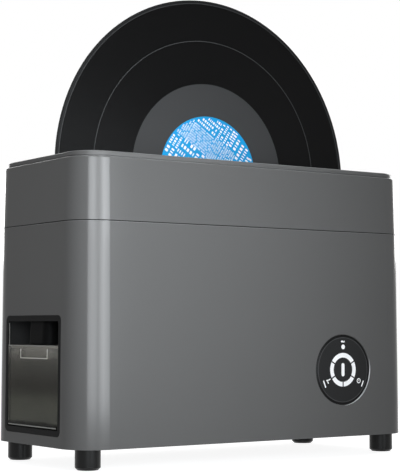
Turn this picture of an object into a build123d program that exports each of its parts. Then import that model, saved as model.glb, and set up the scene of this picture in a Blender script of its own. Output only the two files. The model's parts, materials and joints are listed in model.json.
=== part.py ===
from build123d import *
from math import acos, cos, pi, radians, sin, sqrt, tan
import os

# Upright ultrasonic record cleaning machine, in millimetres.
# X runs along the machine, -Y is its front, Z is up, and the origin is on the
# table under the middle of the housing.

os.makedirs("parts", exist_ok=True)

# ---------------------------------------------------------------- record
record_radius = 150.8
record_y = -2.2                 # the slot stands a little in front of the middle
record_bottom_z = 89.4          # lowest point of the record on its rollers
rim_half_thickness = 1.0
groove_half_thickness = 0.75
rim_bead_width = 3.4
label_radius = 50.0
label_thickness = 0.15
label_recess_margin = 0.6
label_recess_slope = 1.8
rim_slope = 0.8
rim_bevel = 0.5
spindle_hole_radius = 3.62

# ---------------------------------------------------------------- housing
foot_height = 16.0
foot_radius = 10.0
foot_bevel = 1.9
foot_inset = 18.9               # foot centre from the housing's outer faces
wall = 2.6
half_depth = 73.5
corner_radius = 27.0
lower_taper = 0.36              # degrees that the lower walls lean in
upper_taper = 1.2
shell_clearance = 7.4           # between the basin's end and the wall, at the base
upper_height = 50.0             # seam to shoulder
seam_gap = 0.8
tongue_height = 4.0
tongue_thickness = 2.3
fit_gap = 0.2                   # between pieces that only locate each other
deck_thickness = 3.0
deck_below_centre = 0.2         # shoulder below the record's centre
shoulder_fillet = 1.1
base_thickness = 3.0
cut_over = 2.0                  # how far a cut runs past the skin that it opens
join = 1.0                      # how far shapes that are joined run into each other

corner_boss_radius = 5.5
corner_boss_gap = 0.4           # to the wall's inner face at the base; the wall leans into it
seam_boss_length = 25.0
base_boss_radius = 5.0
base_boss_height = 14.0
base_boss_sink = 0.4            # into the wall
base_boss_end_gap = 40.7        # from the housing's end
peg_radius = 2.0
peg_end_inset = 30.0
peg_side_inset = 24.0
vent_length = 50.0
vent_width = 3.0
vent_pitch = 9.0
vent_count = 9

top_plate_height = 4.3
top_plate_edge = 0.8
top_plate_inset = 2.6
shadow_line_height = 0.9
shadow_line_depth = 0.9
slot_width = 14.0
slot_end_gap = 4.2              # beyond the record at each end
slot_corner_radius = 6.5
slot_chamfer = 1.4

# ---------------------------------------------------------------- basin
basin_end_gap = 5.5             # between the record's rim and the basin's floor
basin_half_width = 13.0
basin_wall = 2.4
sump_half_length = 60.0
sump_depth = 4.5                # under the rollers
sump_top_z = 112.0
sump_corner = 8.0
basin_corner = 4.0
basin_rim_overhang = 1.0
basin_boss_wall = 1.6
basin_boss_height = 6.0
basin_screw_spacing = 80.0
flange_reach = 8.0
flange_thickness = 3.0
gasket_thickness = 1.0

# ---------------------------------------------------------------- rollers
roller_spread = 45.0            # each roller from the record's middle
roller_radius = 9.0
roller_groove_radius = 7.0
roller_groove_width = 3.0
roller_groove_slope = 1.2
roller_width = 14.0
hub_radius = 5.8
hub_proud = 1.5                 # beyond the tyre at each end
axle_radius = 2.5
running_gap = 0.05
record_roller_gap = 0.25
bush_radius = 5.0
boss_radius = 8.0
boss_length = 6.0
boss_end_wall = 1.5             # closed end of an axle boss
axle_end_gap = 0.4
seal_length = 2.2

# ---------------------------------------------------------------- gears and motor
gear_module = 0.8
pressure_angle = 20.0
tooth_backlash = 0.16
tooth_root_depth = 1.25         # in modules, under the pitch circle
roller_gear_teeth = 36
pinion_teeth = 18
gear_width = 6.0
gear_gap = 1.5                  # beside the gears, along their axles
bracket_thickness = 2.0
gearbox_radius = 18.0
gearbox_length = 18.0
motor_radius = 16.0
motor_wall_gap = 5.7            # to the rear wall
motor_shaft_radius = 2.0
motor_shaft_end = 6.0           # inside the gearbox
motor_chamfer = 1.0
gearbox_chamfer = 0.8
terminal_spread = 8.0
terminal_width = 2.4
terminal_length = 1.9
terminal_thickness = 0.6
bracket_margin = 2.0            # under the gearbox
bracket_above = 16.0
bracket_left_reach = 36.0
bracket_right_reach = 10.0
bracket_corner = 5.0
post_radius = 3.5
post_inset = 7.0

# ---------------------------------------------------------------- transducers
transducer_z = 152.0
horn_foot_radius = 19.0
horn_neck_radius = 14.0
horn_length = 16.0
horn_foot_thickness = 3.0
piezo_radius = 15.0
piezo_bore = 6.0
piezo_thickness = 4.0
piezo_gap = 0.4                 # electrode between the rings
tail_length = 12.0
transducer_bolt_radius = 3.0
transducer_head_radius = 5.7
transducer_head_height = 3.9

# ---------------------------------------------------------------- tank and its bay
bay_y = 0.7
bay_corner_gap = 1.05           # beside the bezel, to the housing's round corner
bay_bezel_low_z = 24.8
bay_bezel_high_z = 117.8
bay_bezel_radius = 4.5
bay_bezel_width = 4.4           # above and below the opening
bay_bezel_side = 3.8            # beside the opening
bay_wall = 2.0
bay_to_basin = 4.0
bay_back_gap = 2.0              # behind the tank
bay_mouth_radius = 1.5
bay_mouth_depth = 10.0
bay_throat_inset = 1.5          # the inner walls start this far behind the bezel's face
panel_flange = 3.0              # hidden lip behind the housing wall
flange_depth = 1.5
tank_length = 80.5
tank_proud = 0.3                # tank front before the middle of the bezel's face
tank_top_z = 94.5
tank_wall = 2.2
tank_side_gap = 0.3
tank_floor_gap = 0.3
tank_radius = 1.5
tank_inner_radius = 0.8
tank_foot_chamfer = 0.8
ledge_width = 1.6
ledge_height = 2.4
lid_thickness = 2.0
lid_drop = 0.5
mouth_length = 20.0
mouth_width = 41.0
mouth_radius = 4.0
basket_depth = 10.6
basket_wall = 1.2
basket_rim = 1.5
mesh_hole_radius = 1.0
mesh_pitch = 3.6
mesh_count = (5, 9)
spout_from_front = 11.4
spout_length = 16.0
spout_width = 33.0
spout_gap = 1.2                 # above the tank
spout_wall = 2.0
spout_end_radius = 7.5
spout_draft = 3.0               # degrees
spout_roof = 5.0
spout_nipple_height = 9.0
hose_bore = 3.5
hose_wall = 1.5
nipple_radius = 3.4             # pushed into a hose, with a little play
nipple_bore = 2.3

# ---------------------------------------------------------------- control panel
panel_end_gap = 47.8            # beside the panel, to the housing's end
panel_z = 72.5
panel_radius = 29.8
panel_recess = 0.5
panel_edge_chamfer = 0.6
fascia_thickness = 2.0
fascia_bevel = 2.2
fascia_bevel_drop = 0.6
fascia_rim_width = 4.0
panel_post_radius = 2.6
panel_post_inset = 1.0
light_ring_inner = 10.35
light_ring_outer = 14.3
light_spoke_angles = (30, 150, 210, 270, 330)
light_spoke_width = 1.1
light_play = 0.04               # round a clear piece in its slot
led_radius = 1.3
led_height = 1.2
led_offset = 0.6
button_radius = 9.7
button_gap = 0.2
button_travel = 0.8
button_edge = 0.4
button_flange = 1.4
button_flange_thickness = 0.9
switch_size = 6.0
switch_gap = 0.7                # left under the button when it is pressed
bar_length = 11.4
bar_width = 3.4
bar_depth = 1.0
panel_board_depth = 7.0
board_thickness = 1.6

# ---------------------------------------------------------------- drying blower
blower_radius = 32.0
blower_outlet_width = 22.0
blower_depth = 24.0
blower_wall = 2.0
blower_inlet_depth = 4.0
blower_shaft_radius = 1.5
blower_shaft_play = 0.3
blower_shaft_length = 10.0
blower_motor_radius = 12.0
blower_motor_length = 8.0
impeller_radius = 26.0
impeller_blades = 24
impeller_plate = 1.5            # thickness of its back plate and its ring
impeller_ring_width = 5.0
impeller_gap = 1.5              # at each side, inside the housing
impeller_hub_radius = 9.0
impeller_hub_top_radius = 6.0
impeller_hub_foot = 3.0
blade_length = 5.0
blade_thickness = 0.9
blade_angle = 35.0
blower_inlet_radius = 18.0
duct_height = 22.0
duct_below_deck = 15.0
duct_slope = 14.0
grille_size = 60.0
grille_radius = 5.0
grille_lip = 3.0                # hidden lip behind the housing wall
grille_below_seam = 10.0
grille_corner_gap = 3.7         # beside the lip, to the housing's round corner
grille_slots = 9
grille_slot_width = 3.0
grille_slot_margin = 5.0
filter_thickness = 6.0
filter_margin = 3.0             # inside the grille's outline
filter_gap = 1.4

# ---------------------------------------------------------------- pump and power
pump_x = -35.0
pump_radius = 17.0
pump_height = 15.0
pump_motor_radius = 14.0
pump_motor_height = 22.0
pump_hose_gap = 6.0             # between the drain nipple and the pump housing
pump_nipple_length = 4.0
pump_wall = 2.0
pump_edge = 1.2
pump_outlet_length = 5.0
pump_outlet_inset = 8.0
pump_shaft_radius = 1.2
pump_shaft_play = 0.2
pump_shaft_length = 8.0
pump_impeller_gap = 2.0         # round the impeller
pump_plate = 1.2
pump_hub_radius = 4.0
pump_vane_count = 6
pump_vane_height = 6.0
pump_vane_length = 9.0
pump_vane_radius = 8.0          # middle of a vane
stand_wall = 2.0                # outside the pump's motor
stand_bore_step = 4.0           # inside the pump's motor
drain_length = 8.0
hose_bend = 12.0
inlet_hose_overlap = 5.0        # over the basin's drain nipple
hose_above_bay = 22.0
hose_behind_bay = 13.0
hose_rise = 10.0
hose_gap = 1.0
power_inlet_x = 104.0
power_inlet_z = 40.0
power_inlet_radius = 5.8
power_inlet_depth = 14.0
power_inlet_collar = 2.5
power_bore_radius = 3.2
power_bore_depth = 10.0
power_pin_radius = 1.0
power_pin_drop = 1.5

# ---------------------------------------------------------------- main board
board_length = 108.0
board_width = 86.0
board_end_gap = 18.7            # from the housing's end
board_middle_y = -5.0
board_hole_inset = 5.0
standoff_height = 8.0
standoff_radius = 3.0
# Places on the board are measured from its front left corner.
transformer_place = (33.0, 32.0)
transformer_size = (26.0, 24.0, 5.0)
coil_size = (22.0, 16.0, 15.0)
capacitor_places = ((62.0, 22.0), (76.0, 22.0), (62.0, 38.0))
capacitor_radius = 5.5
capacitor_height = 17.0
chip_places = ((86.0, 52.0), (86.0, 68.0), (28.0, 54.0))
chip_size = (10.0, 8.0, 2.0)
heat_sink_place = (45.0, 65.5)
heat_sink_size = (50.0, 3.0, 24.0)
fin_count = 8
fin_pitch = 6.8
fin_size = (2.0, 10.0, 21.0)

# ---------------------------------------------------------------- fasteners
screw_radius = 1.5
screw_head_radius = 2.9
screw_head_height = 1.8
clearance_hole = 1.8
base_screw_length = 10.0
seam_screw_grip = 14.0          # in the upper housing
foot_screw_recess = 8.0
foot_screw_play = 1.0
foot_screw_end = 3.0            # beyond the base plate
basin_screw_length = 8.0
motor_screw_grip = 4.0          # in the gearbox
post_screw_grip = 8.0
board_screw_grip = 5.0          # in a standoff
panel_screw_grip = 2.2

# ---------------------------------------------------------------- worked out
record_centre_z = record_bottom_z + record_radius
basin_radius = record_radius + basin_end_gap
basin_outer_radius = basin_radius + basin_wall
half_length = basin_outer_radius + shell_clearance + wall
shoulder_z = record_centre_z - deck_below_centre
seam_z = shoulder_z - upper_height
top_z = shoulder_z + top_plate_height
deck_low_z = shoulder_z - deck_thickness
basin_top_z = deck_low_z - gasket_thickness
basin_rear_y = record_y + basin_half_width + basin_wall
basin_front_y = record_y - basin_half_width - basin_wall

roller_reach = record_radius + record_roller_gap + roller_groove_radius
roller_z = record_centre_z - sqrt(roller_reach**2 - roller_spread**2)
sump_floor_z = roller_z - roller_radius - sump_depth

drain_nipple_low_z = sump_floor_z - basin_wall - drain_length
pump_top_z = drain_nipple_low_z - pump_hose_gap
pump_low_z = pump_top_z - pump_height
pump_motor_low_z = pump_low_z - pump_motor_height

gear_front_y = basin_rear_y + boss_length + gear_gap
bracket_y = gear_front_y + gear_width + gear_gap
gear_centre_distance = gear_module * (roller_gear_teeth + pinion_teeth) / 2
pinion_x = roller_spread + gear_centre_distance
gearbox_y = bracket_y + bracket_thickness
motor_y = gearbox_y + gearbox_length
motor_length = half_depth - wall - motor_wall_gap - motor_y

panel_x = half_length - panel_end_gap - panel_radius

bay_bezel_half_width = half_depth - corner_radius - bay_y - bay_corner_gap
blower_x = half_length - corner_radius - grille_corner_gap - grille_lip - grille_size / 2
blower_z = seam_z - grille_below_seam - grille_size / 2
duct_low_z = deck_low_z - duct_below_deck - duct_height
duct_left_x = blower_x - blower_radius
board_right_x = half_length - board_end_gap
board_left_x = board_right_x - board_length
board_front_y = board_middle_y - board_width / 2
board_rear_y = board_middle_y + board_width / 2

base_top_z = foot_height + base_thickness


def lean(z):
    """How far the outer skin has leaned in at height z."""
    lower = (min(z, seam_z) - foot_height) * tan(radians(lower_taper))
    upper = max(z - seam_z, 0) * tan(radians(upper_taper))
    return lower + upper


def tapered_block(z_low, z_high, inset, taper):
    """Rounded block that follows the housing's outer skin, inset from it."""
    shrink = lean(z_low) + inset
    with BuildPart() as block:
        with BuildSketch(Plane.XY.offset(z_low)):
            RectangleRounded(
                2 * (half_length - shrink), 2 * (half_depth - shrink), corner_radius - shrink
            )
        extrude(amount=z_high - z_low, taper=taper)
    return block.part


def span_box(low, high, mode=Mode.ADD):
    """Box between two opposite corners."""
    centre = [(a + b) / 2 for a, b in zip(low, high)]
    size = [b - a for a, b in zip(low, high)]
    with Locations(tuple(centre)):
        Box(*size, mode=mode)


def front_view(x, y, z):
    """Plane across the Y axis, seen from the front: local x is X, local y is Z."""
    return Plane(origin=(x, y, z), x_dir=(1, 0, 0), z_dir=(0, -1, 0))


def rod(plane, outer, length, inner=0.0):
    """Rod, or tube with an inner radius, from a plane along its normal."""
    with BuildPart() as body:
        with BuildSketch(plane):
            Circle(outer)
            if inner > 0:
                Circle(inner, mode=Mode.SUBTRACT)
        extrude(amount=length)
    return body.part


def back_rod(x, y, z, outer, length, inner=0.0):
    """Rod or tube that runs backwards, along +Y, from the point given."""
    return rod(front_view(x, y, z), outer, -length, inner)


def upright_rod(x, y, z, outer, length, inner=0.0):
    """Rod or tube that runs upwards from the point given."""
    return rod(Plane(origin=(x, y, z)), outer, length, inner)


def turned(plane, points):
    """Turned solid: points are (radius, along) with the axis along the plane's y."""
    with BuildPart() as body:
        with BuildSketch(plane):
            with BuildLine():
                Polyline(*points, close=True)
            make_face()
        revolve(axis=Axis(plane.origin, plane.y_dir))
    return body.part


def screws(points, direction, length):
    """Pan-head screws whose heads sit outside the points, shanks along direction."""
    with BuildPart() as group:
        for point in points:
            seat = Plane(origin=point, z_dir=direction)
            add(rod(seat, screw_radius, length))
            add(rod(seat, screw_head_radius, -screw_head_height))
    return group.part


def save(piece, name):
    """Name a finished piece and write it as its own file."""
    piece.label = name
    export_step(piece, f"parts/{name}.step")


def mirrored_points(x, y):
    """The four points (+-x, +-y)."""
    return [(sx * x, sy * y) for sx in (-1, 1) for sy in (-1, 1)]


# ================================================================ housing
foot_x = half_length - foot_inset
foot_y = half_depth - foot_inset
corner_boss_out = (corner_radius - wall - corner_boss_radius - corner_boss_gap) / sqrt(2)
corner_x = half_length - corner_radius + corner_boss_out
corner_y = half_depth - corner_radius + corner_boss_out
base_boss_x = half_length - base_boss_end_gap
base_boss_y = half_depth - wall - base_boss_radius + base_boss_sink
base_boss_points = [(sx * base_boss_x, sy * base_boss_y) for sx in (-1, 0, 1) for sy in (-1, 1)]

panel_lean = radians(lower_taper)
panel_plane = Plane(
    origin=(panel_x, lean(panel_z) - half_depth, panel_z),
    x_dir=(1, 0, 0),
    z_dir=(0, -cos(panel_lean), sin(panel_lean)),
)
panel_section = Plane(
    origin=panel_plane.origin, x_dir=(1, 0, 0), z_dir=(0, sin(panel_lean), cos(panel_lean))
)


def end_plane(y, z):
    """Plane on the left end of the housing, with its normal pointing out."""
    return Plane(
        origin=(lean(z) - half_length, y, z),
        x_dir=(0, -1, 0),
        z_dir=(-cos(panel_lean), 0, sin(panel_lean)),
    )


def rear_plane(x, z):
    """Plane on the rear of the housing, with its normal pointing out."""
    return Plane(
        origin=(x, half_depth - lean(z), z),
        x_dir=(-1, 0, 0),
        z_dir=(0, cos(panel_lean), sin(panel_lean)),
    )


bezel_centre_z = (bay_bezel_low_z + bay_bezel_high_z) / 2
bezel_height = bay_bezel_high_z - bay_bezel_low_z
bezel_plane = end_plane(bay_y, bezel_centre_z)
grille_plane = rear_plane(blower_x, blower_z)
inlet_plane = rear_plane(power_inlet_x, power_inlet_z)


def plate_on(plane, width, height, radius, outer_depth, inner_depth):
    """Rounded plate behind a face plane, between two depths."""
    with BuildPart() as plate:
        with BuildSketch(plane.offset(-outer_depth)):
            RectangleRounded(width, height, radius)
        extrude(amount=outer_depth - inner_depth)
    return plate.part


with BuildPart() as lower_housing:
    add(tapered_block(foot_height, seam_z, 0, lower_taper))
    add(tapered_block(foot_height, seam_z, wall, lower_taper), mode=Mode.SUBTRACT)
    # Tongue that stands up inside the seam.
    tongue_inset = wall / 2 + fit_gap
    tongue_low_z = seam_z - tongue_height
    tongue_top_z = seam_z + tongue_height
    with BuildPart(mode=Mode.PRIVATE) as tongue:
        add(tapered_block(tongue_low_z, tongue_top_z, tongue_inset, lower_taper))
        add(
            tapered_block(tongue_low_z, tongue_top_z, tongue_inset + tongue_thickness, lower_taper),
            mode=Mode.SUBTRACT,
        )
    add(tongue.part)
    # Screw columns: four under the seam and six over the base plate.
    with BuildPart(mode=Mode.PRIVATE) as columns:
        for x, y in mirrored_points(corner_x, corner_y):
            add(upright_rod(x, y, seam_z - seam_boss_length, corner_boss_radius, seam_boss_length))
        for x, y in base_boss_points:
            add(upright_rod(x, y, base_top_z, base_boss_radius, base_boss_height))
        add(tapered_block(foot_height, seam_z, wall / 2, lower_taper), mode=Mode.INTERSECT)
    add(columns.part)
    for x, y in mirrored_points(corner_x, corner_y):
        add(upright_rod(x, y, seam_z - seam_boss_length, clearance_hole, seam_boss_length),
            mode=Mode.SUBTRACT)
    for x, y in base_boss_points:
        add(upright_rod(x, y, base_top_z, screw_radius, base_boss_height - wall), mode=Mode.SUBTRACT)
    # Openings: tank bay, control panel, air inlet and power inlet.
    add(
        plate_on(bezel_plane, 2 * (bay_bezel_half_width + fit_gap), bezel_height + 2 * fit_gap,
                 bay_bezel_radius, -cut_over, wall + cut_over),
        mode=Mode.SUBTRACT,
    )
    add(rod(panel_plane.offset(cut_over), panel_radius, -wall - 2 * cut_over), mode=Mode.SUBTRACT)
    add(
        plate_on(grille_plane, grille_size + 2 * fit_gap, grille_size + 2 * fit_gap, grille_radius,
                 -cut_over, wall + cut_over),
        mode=Mode.SUBTRACT,
    )
    add(rod(inlet_plane.offset(cut_over), power_inlet_radius + fit_gap, -wall - 2 * cut_over),
        mode=Mode.SUBTRACT)
    panel_edge = (
        lower_housing.edges()
        .filter_by(GeomType.CIRCLE)
        .filter_by(lambda edge: abs(edge.radius - panel_radius) < fit_gap / 2)
        .sort_by(Axis.Y)[0]
    )
    chamfer(panel_edge, panel_edge_chamfer)
save(lower_housing.part, "lower_housing")

upper_low_z = seam_z + seam_gap
basin_screw_y = basin_half_width + basin_wall + flange_reach / 2
basin_screw_x = [step * basin_screw_spacing for step in (-1.5, -0.5, 0.5, 1.5)]
basin_screw_points = [(x, record_y + sy * basin_screw_y) for x in basin_screw_x for sy in (-1, 1)]
peg_points = mirrored_points(half_length - peg_end_inset, half_depth - peg_side_inset)

with BuildPart() as upper_housing:
    add(tapered_block(upper_low_z, shoulder_z, 0, upper_taper))
    fillet(upper_housing.faces().sort_by(Axis.Z)[-1].edges(), shoulder_fillet)
    add(tapered_block(upper_low_z, deck_low_z, wall, upper_taper), mode=Mode.SUBTRACT)
    with BuildPart(mode=Mode.PRIVATE) as upper_columns:
        for x, y in mirrored_points(corner_x, corner_y):
            add(upright_rod(x, y, upper_low_z, corner_boss_radius, deck_low_z - upper_low_z))
        add(tapered_block(upper_low_z, deck_low_z, wall / 2, upper_taper), mode=Mode.INTERSECT)
    add(upper_columns.part)
    # Rebate for the tongue of the lower housing.
    with BuildPart(mode=Mode.PRIVATE) as rebate:
        add(tapered_block(seam_z, tongue_top_z + fit_gap, wall / 2, upper_taper))
        add(
            tapered_block(seam_z, tongue_top_z + fit_gap,
                          tongue_inset + tongue_thickness + 2 * fit_gap, upper_taper),
            mode=Mode.SUBTRACT,
        )
    add(rebate.part, mode=Mode.SUBTRACT)
    for x, y in mirrored_points(corner_x, corner_y):
        add(upright_rod(x, y, upper_low_z, screw_radius, seam_boss_length), mode=Mode.SUBTRACT)
    # Deck: opening over the basin, screw holes and peg holes.
    with BuildSketch(Plane.XY.offset(shoulder_z)):
        with Locations((0, record_y)):
            RectangleRounded(2 * basin_radius, 2 * basin_half_width, basin_corner)
        with Locations(*basin_screw_points):
            Circle(clearance_hole)
        with Locations(*peg_points):
            Circle(peg_radius + fit_gap)
    extrude(amount=-deck_thickness, mode=Mode.SUBTRACT)
    with BuildSketch(Plane.XY.offset(shoulder_z)):
        with Locations(*basin_screw_points):
            Circle(screw_head_radius + fit_gap)
    extrude(amount=-screw_head_height, mode=Mode.SUBTRACT)
save(upper_housing.part, "upper_housing")

with BuildPart() as top_plate:
    add(tapered_block(shoulder_z, top_z, top_plate_inset, upper_taper))
    fillet(top_plate.faces().sort_by(Axis.Z)[-1].edges(), top_plate_edge)
    # Shadow line round the foot of the plate.
    with BuildPart(mode=Mode.PRIVATE) as shadow_line:
        add(tapered_block(shoulder_z, shoulder_z + shadow_line_height, 0, upper_taper))
        add(
            tapered_block(shoulder_z, shoulder_z + shadow_line_height,
                          top_plate_inset + shadow_line_depth, upper_taper),
            mode=Mode.SUBTRACT,
        )
    add(shadow_line.part, mode=Mode.SUBTRACT)
    with BuildSketch(Plane.XY.offset(top_z)):
        with Locations((0, record_y)):
            RectangleRounded(2 * (record_radius + slot_end_gap), slot_width, slot_corner_radius)
    extrude(amount=-top_plate_height, mode=Mode.SUBTRACT)
    slot_edges = top_plate.faces().sort_by(Axis.Z)[-1].inner_wires()[0].edges()
    chamfer(slot_edges, slot_chamfer)
    for x, y in peg_points:
        add(upright_rod(x, y, deck_low_z - join, peg_radius, deck_thickness + join))
save(top_plate.part, "top_plate")

with BuildPart() as base_plate:
    add(tapered_block(foot_height, base_top_z, wall + fit_gap, lower_taper))
    with BuildSketch(Plane.XY.offset(foot_height)):
        with Locations(*base_boss_points):
            Circle(clearance_hole)
        with Locations(*mirrored_points(foot_x, foot_y)):
            Circle(clearance_hole)
        with Locations(((board_left_x + board_right_x) / 2, 0)):
            with GridLocations(vent_pitch, 0, vent_count, 1):
                SlotOverall(vent_length, vent_width, rotation=90)
    extrude(amount=base_thickness, mode=Mode.SUBTRACT)
    with BuildSketch(Plane.XY.offset(foot_height)):
        with Locations(*base_boss_points):
            Circle(screw_head_radius + fit_gap)
    extrude(amount=screw_head_height + fit_gap, mode=Mode.SUBTRACT)
    # Hollow stand under the drain pump.
    add(upright_rod(pump_x, record_y, base_top_z, pump_motor_radius + stand_wall,
                    pump_motor_low_z - base_top_z, pump_motor_radius - stand_bore_step))
save(base_plate.part, "base_plate")

base_screw_seats = [(x, y, foot_height + screw_head_height + fit_gap) for x, y in base_boss_points]
seam_screw_seats = [(x, y, seam_z - seam_boss_length) for x, y in mirrored_points(corner_x, corner_y)]

foot_bore = screw_head_radius + foot_screw_play
foot_names = ("foot_front_left", "foot_rear_left", "foot_front_right", "foot_rear_right")
for foot_name, (x, y) in zip(foot_names, mirrored_points(foot_x, foot_y)):
    foot = turned(
        front_view(x, y, 0),
        [(foot_bore, 0), (foot_radius - foot_bevel, 0), (foot_radius, foot_bevel),
         (foot_radius, foot_height), (clearance_hole, foot_height),
         (clearance_hole, foot_screw_recess), (foot_bore, foot_screw_recess)],
    )
    save(foot, foot_name)
foot_screw_seats = [(x, y, foot_screw_recess) for x, y in mirrored_points(foot_x, foot_y)]
foot_screw_length = foot_height + base_thickness - foot_screw_recess + foot_screw_end
with BuildPart() as case_screws:
    add(screws(base_screw_seats, (0, 0, 1), base_screw_length))
    add(screws(seam_screw_seats, (0, 0, 1), seam_boss_length + seam_screw_grip))
    add(screws(foot_screw_seats, (0, 0, 1), foot_screw_length))
save(case_screws.part, "case_screws")

# ================================================================ basin
record_plane = front_view(0, record_y, record_centre_z)
window_low_z = duct_low_z + blower_wall
window_high_z = duct_low_z + duct_height - blower_wall


def basin_section(growth):
    """Front view of the basin's hollow, grown outwards by a wall."""
    with BuildSketch(record_plane) as section:
        Circle(basin_radius + growth)
        with Locations((0, basin_top_z - record_centre_z)):
            Rectangle(3 * basin_radius, 2 * basin_radius, align=(Align.CENTER, Align.MIN),
                      mode=Mode.SUBTRACT)
        with Locations((0, sump_floor_z - growth - record_centre_z)):
            RectangleRounded(
                2 * (sump_half_length + growth), sump_top_z - sump_floor_z, sump_corner + growth,
                align=(Align.CENTER, Align.MIN),
            )
    return section.sketch


basin_boss_low_z = basin_top_z - flange_thickness - basin_boss_height
with BuildPart() as basin:
    extrude(basin_section(basin_wall), amount=basin_half_width + basin_wall, both=True)
    # Rim that hangs from the deck.
    with BuildSketch(Plane.XY.offset(basin_top_z)):
        with Locations((0, record_y)):
            RectangleRounded(
                2 * (basin_outer_radius + basin_rim_overhang),
                2 * (basin_half_width + basin_wall + flange_reach), basin_corner,
            )
    extrude(amount=-flange_thickness)
    # Bosses round the two axles, drain nipple, screw bosses.
    for sx in (-1, 1):
        x = sx * roller_spread
        add(back_rod(x, basin_rear_y, roller_z, boss_radius, boss_length))
        add(back_rod(x, basin_front_y - boss_length, roller_z, boss_radius, boss_length))
    add(upright_rod(pump_x, record_y, drain_nipple_low_z, nipple_radius, drain_length + join))
    for x, y in basin_screw_points:
        add(upright_rod(x, y, basin_boss_low_z, screw_radius + basin_boss_wall, basin_boss_height + join))
    # Hollows.
    extrude(basin_section(0), amount=basin_half_width, both=True, mode=Mode.SUBTRACT)
    blind_depth = basin_wall + boss_length - boss_end_wall
    for sx in (-1, 1):
        x = sx * roller_spread
        add(back_rod(x, record_y - basin_half_width - blind_depth, roller_z, bush_radius,
                     2 * (basin_half_width + blind_depth)), mode=Mode.SUBTRACT)
    add(back_rod(roller_spread, record_y, roller_z, bush_radius,
                 basin_half_width + basin_wall + boss_length + cut_over), mode=Mode.SUBTRACT)
    add(upright_rod(pump_x, record_y, drain_nipple_low_z, nipple_bore, drain_length + basin_wall + join),
        mode=Mode.SUBTRACT)
    for x, y in basin_screw_points:
        add(upright_rod(x, y, basin_boss_low_z + join, screw_radius, basin_boss_height + flange_thickness),
            mode=Mode.SUBTRACT)
    span_box(
        (duct_left_x + blower_wall, record_y, window_low_z),
        (duct_left_x + blower_outlet_width - blower_wall, basin_rear_y + cut_over, window_high_z),
        mode=Mode.SUBTRACT,
    )
save(basin.part, "basin")

with BuildPart() as basin_gasket:
    with BuildSketch(Plane.XY.offset(basin_top_z)):
        with Locations((0, record_y)):
            RectangleRounded(
                2 * basin_outer_radius,
                2 * (basin_half_width + basin_wall + flange_reach - basin_rim_overhang), basin_corner,
            )
            RectangleRounded(2 * basin_radius, 2 * basin_half_width, basin_corner, mode=Mode.SUBTRACT)
        with Locations(*basin_screw_points):
            Circle(clearance_hole, mode=Mode.SUBTRACT)
    extrude(amount=gasket_thickness)
save(basin_gasket.part, "basin_gasket")
basin_screw_seats = [(x, y, shoulder_z - screw_head_height) for x, y in basin_screw_points]

# ================================================================ record
record_section = Plane(origin=(0, record_y, record_centre_z))
recess_half_thickness = rim_half_thickness - label_thickness


def both_faces(profile):
    """Closed (radius, half thickness) profile mirrored to the record's other face."""
    return profile + [(radius, -half) for radius, half in reversed(profile)]


save(
    turned(record_section, both_faces([
        (spindle_hole_radius, recess_half_thickness),
        (label_radius + label_recess_margin, recess_half_thickness),
        (label_radius + label_recess_margin + label_recess_slope, groove_half_thickness),
        (record_radius - rim_bead_width - rim_slope, groove_half_thickness),
        (record_radius - rim_bead_width, rim_half_thickness),
        (record_radius - rim_bevel, rim_half_thickness),
        (record_radius, rim_half_thickness - rim_bevel),
    ])),
    "record",
)
with BuildPart() as record_labels:
    for label_y in (record_y - rim_half_thickness, record_y + recess_half_thickness):
        add(back_rod(0, label_y, record_centre_z, label_radius, label_thickness, spindle_hole_radius))
save(record_labels.part, "record_labels")

# ================================================================ rollers
groove_half_width = roller_groove_width / 2
tyre_half_width = roller_width / 2
hub_half_width = tyre_half_width + hub_proud
bush_length = blind_depth - axle_end_gap
axle_front_y = record_y - basin_half_width - bush_length
axle_rear_y = record_y + basin_half_width + bush_length
seal_y = basin_rear_y + boss_length - seal_length

for side_name, sx in (("left", -1), ("right", 1)):
    x = sx * roller_spread
    roller_section = Plane(origin=(x, record_y, roller_z))
    tyre = turned(roller_section, [
        (hub_radius, -tyre_half_width),
        (roller_radius, -tyre_half_width),
        (roller_radius, -groove_half_width - roller_groove_slope),
        (roller_groove_radius, -groove_half_width),
        (roller_groove_radius, groove_half_width),
        (roller_radius, groove_half_width + roller_groove_slope),
        (roller_radius, tyre_half_width),
        (hub_radius, tyre_half_width),
    ])
    save(tyre, f"roller_tyre_{side_name}")
    hub = back_rod(x, record_y - hub_half_width, roller_z, hub_radius, 2 * hub_half_width, axle_radius)
    save(hub, f"roller_hub_{side_name}")
    axle_end_y = gear_front_y + gear_width if sx > 0 else axle_rear_y
    save(back_rod(x, axle_front_y, roller_z, axle_radius, axle_end_y - axle_front_y),
         f"roller_axle_{side_name}")

with BuildPart() as axle_bushes:
    for sx in (-1, 1):
        for y in (record_y - basin_half_width - bush_length, record_y + basin_half_width):
            length = bush_length - (seal_length if sx > 0 and y > record_y else 0)
            add(back_rod(sx * roller_spread, y, roller_z, bush_radius, length, axle_radius + running_gap))
save(axle_bushes.part, "axle_bushes")
save(back_rod(roller_spread, seal_y, roller_z, bush_radius, seal_length, axle_radius + running_gap),
     "shaft_seal")


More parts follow.
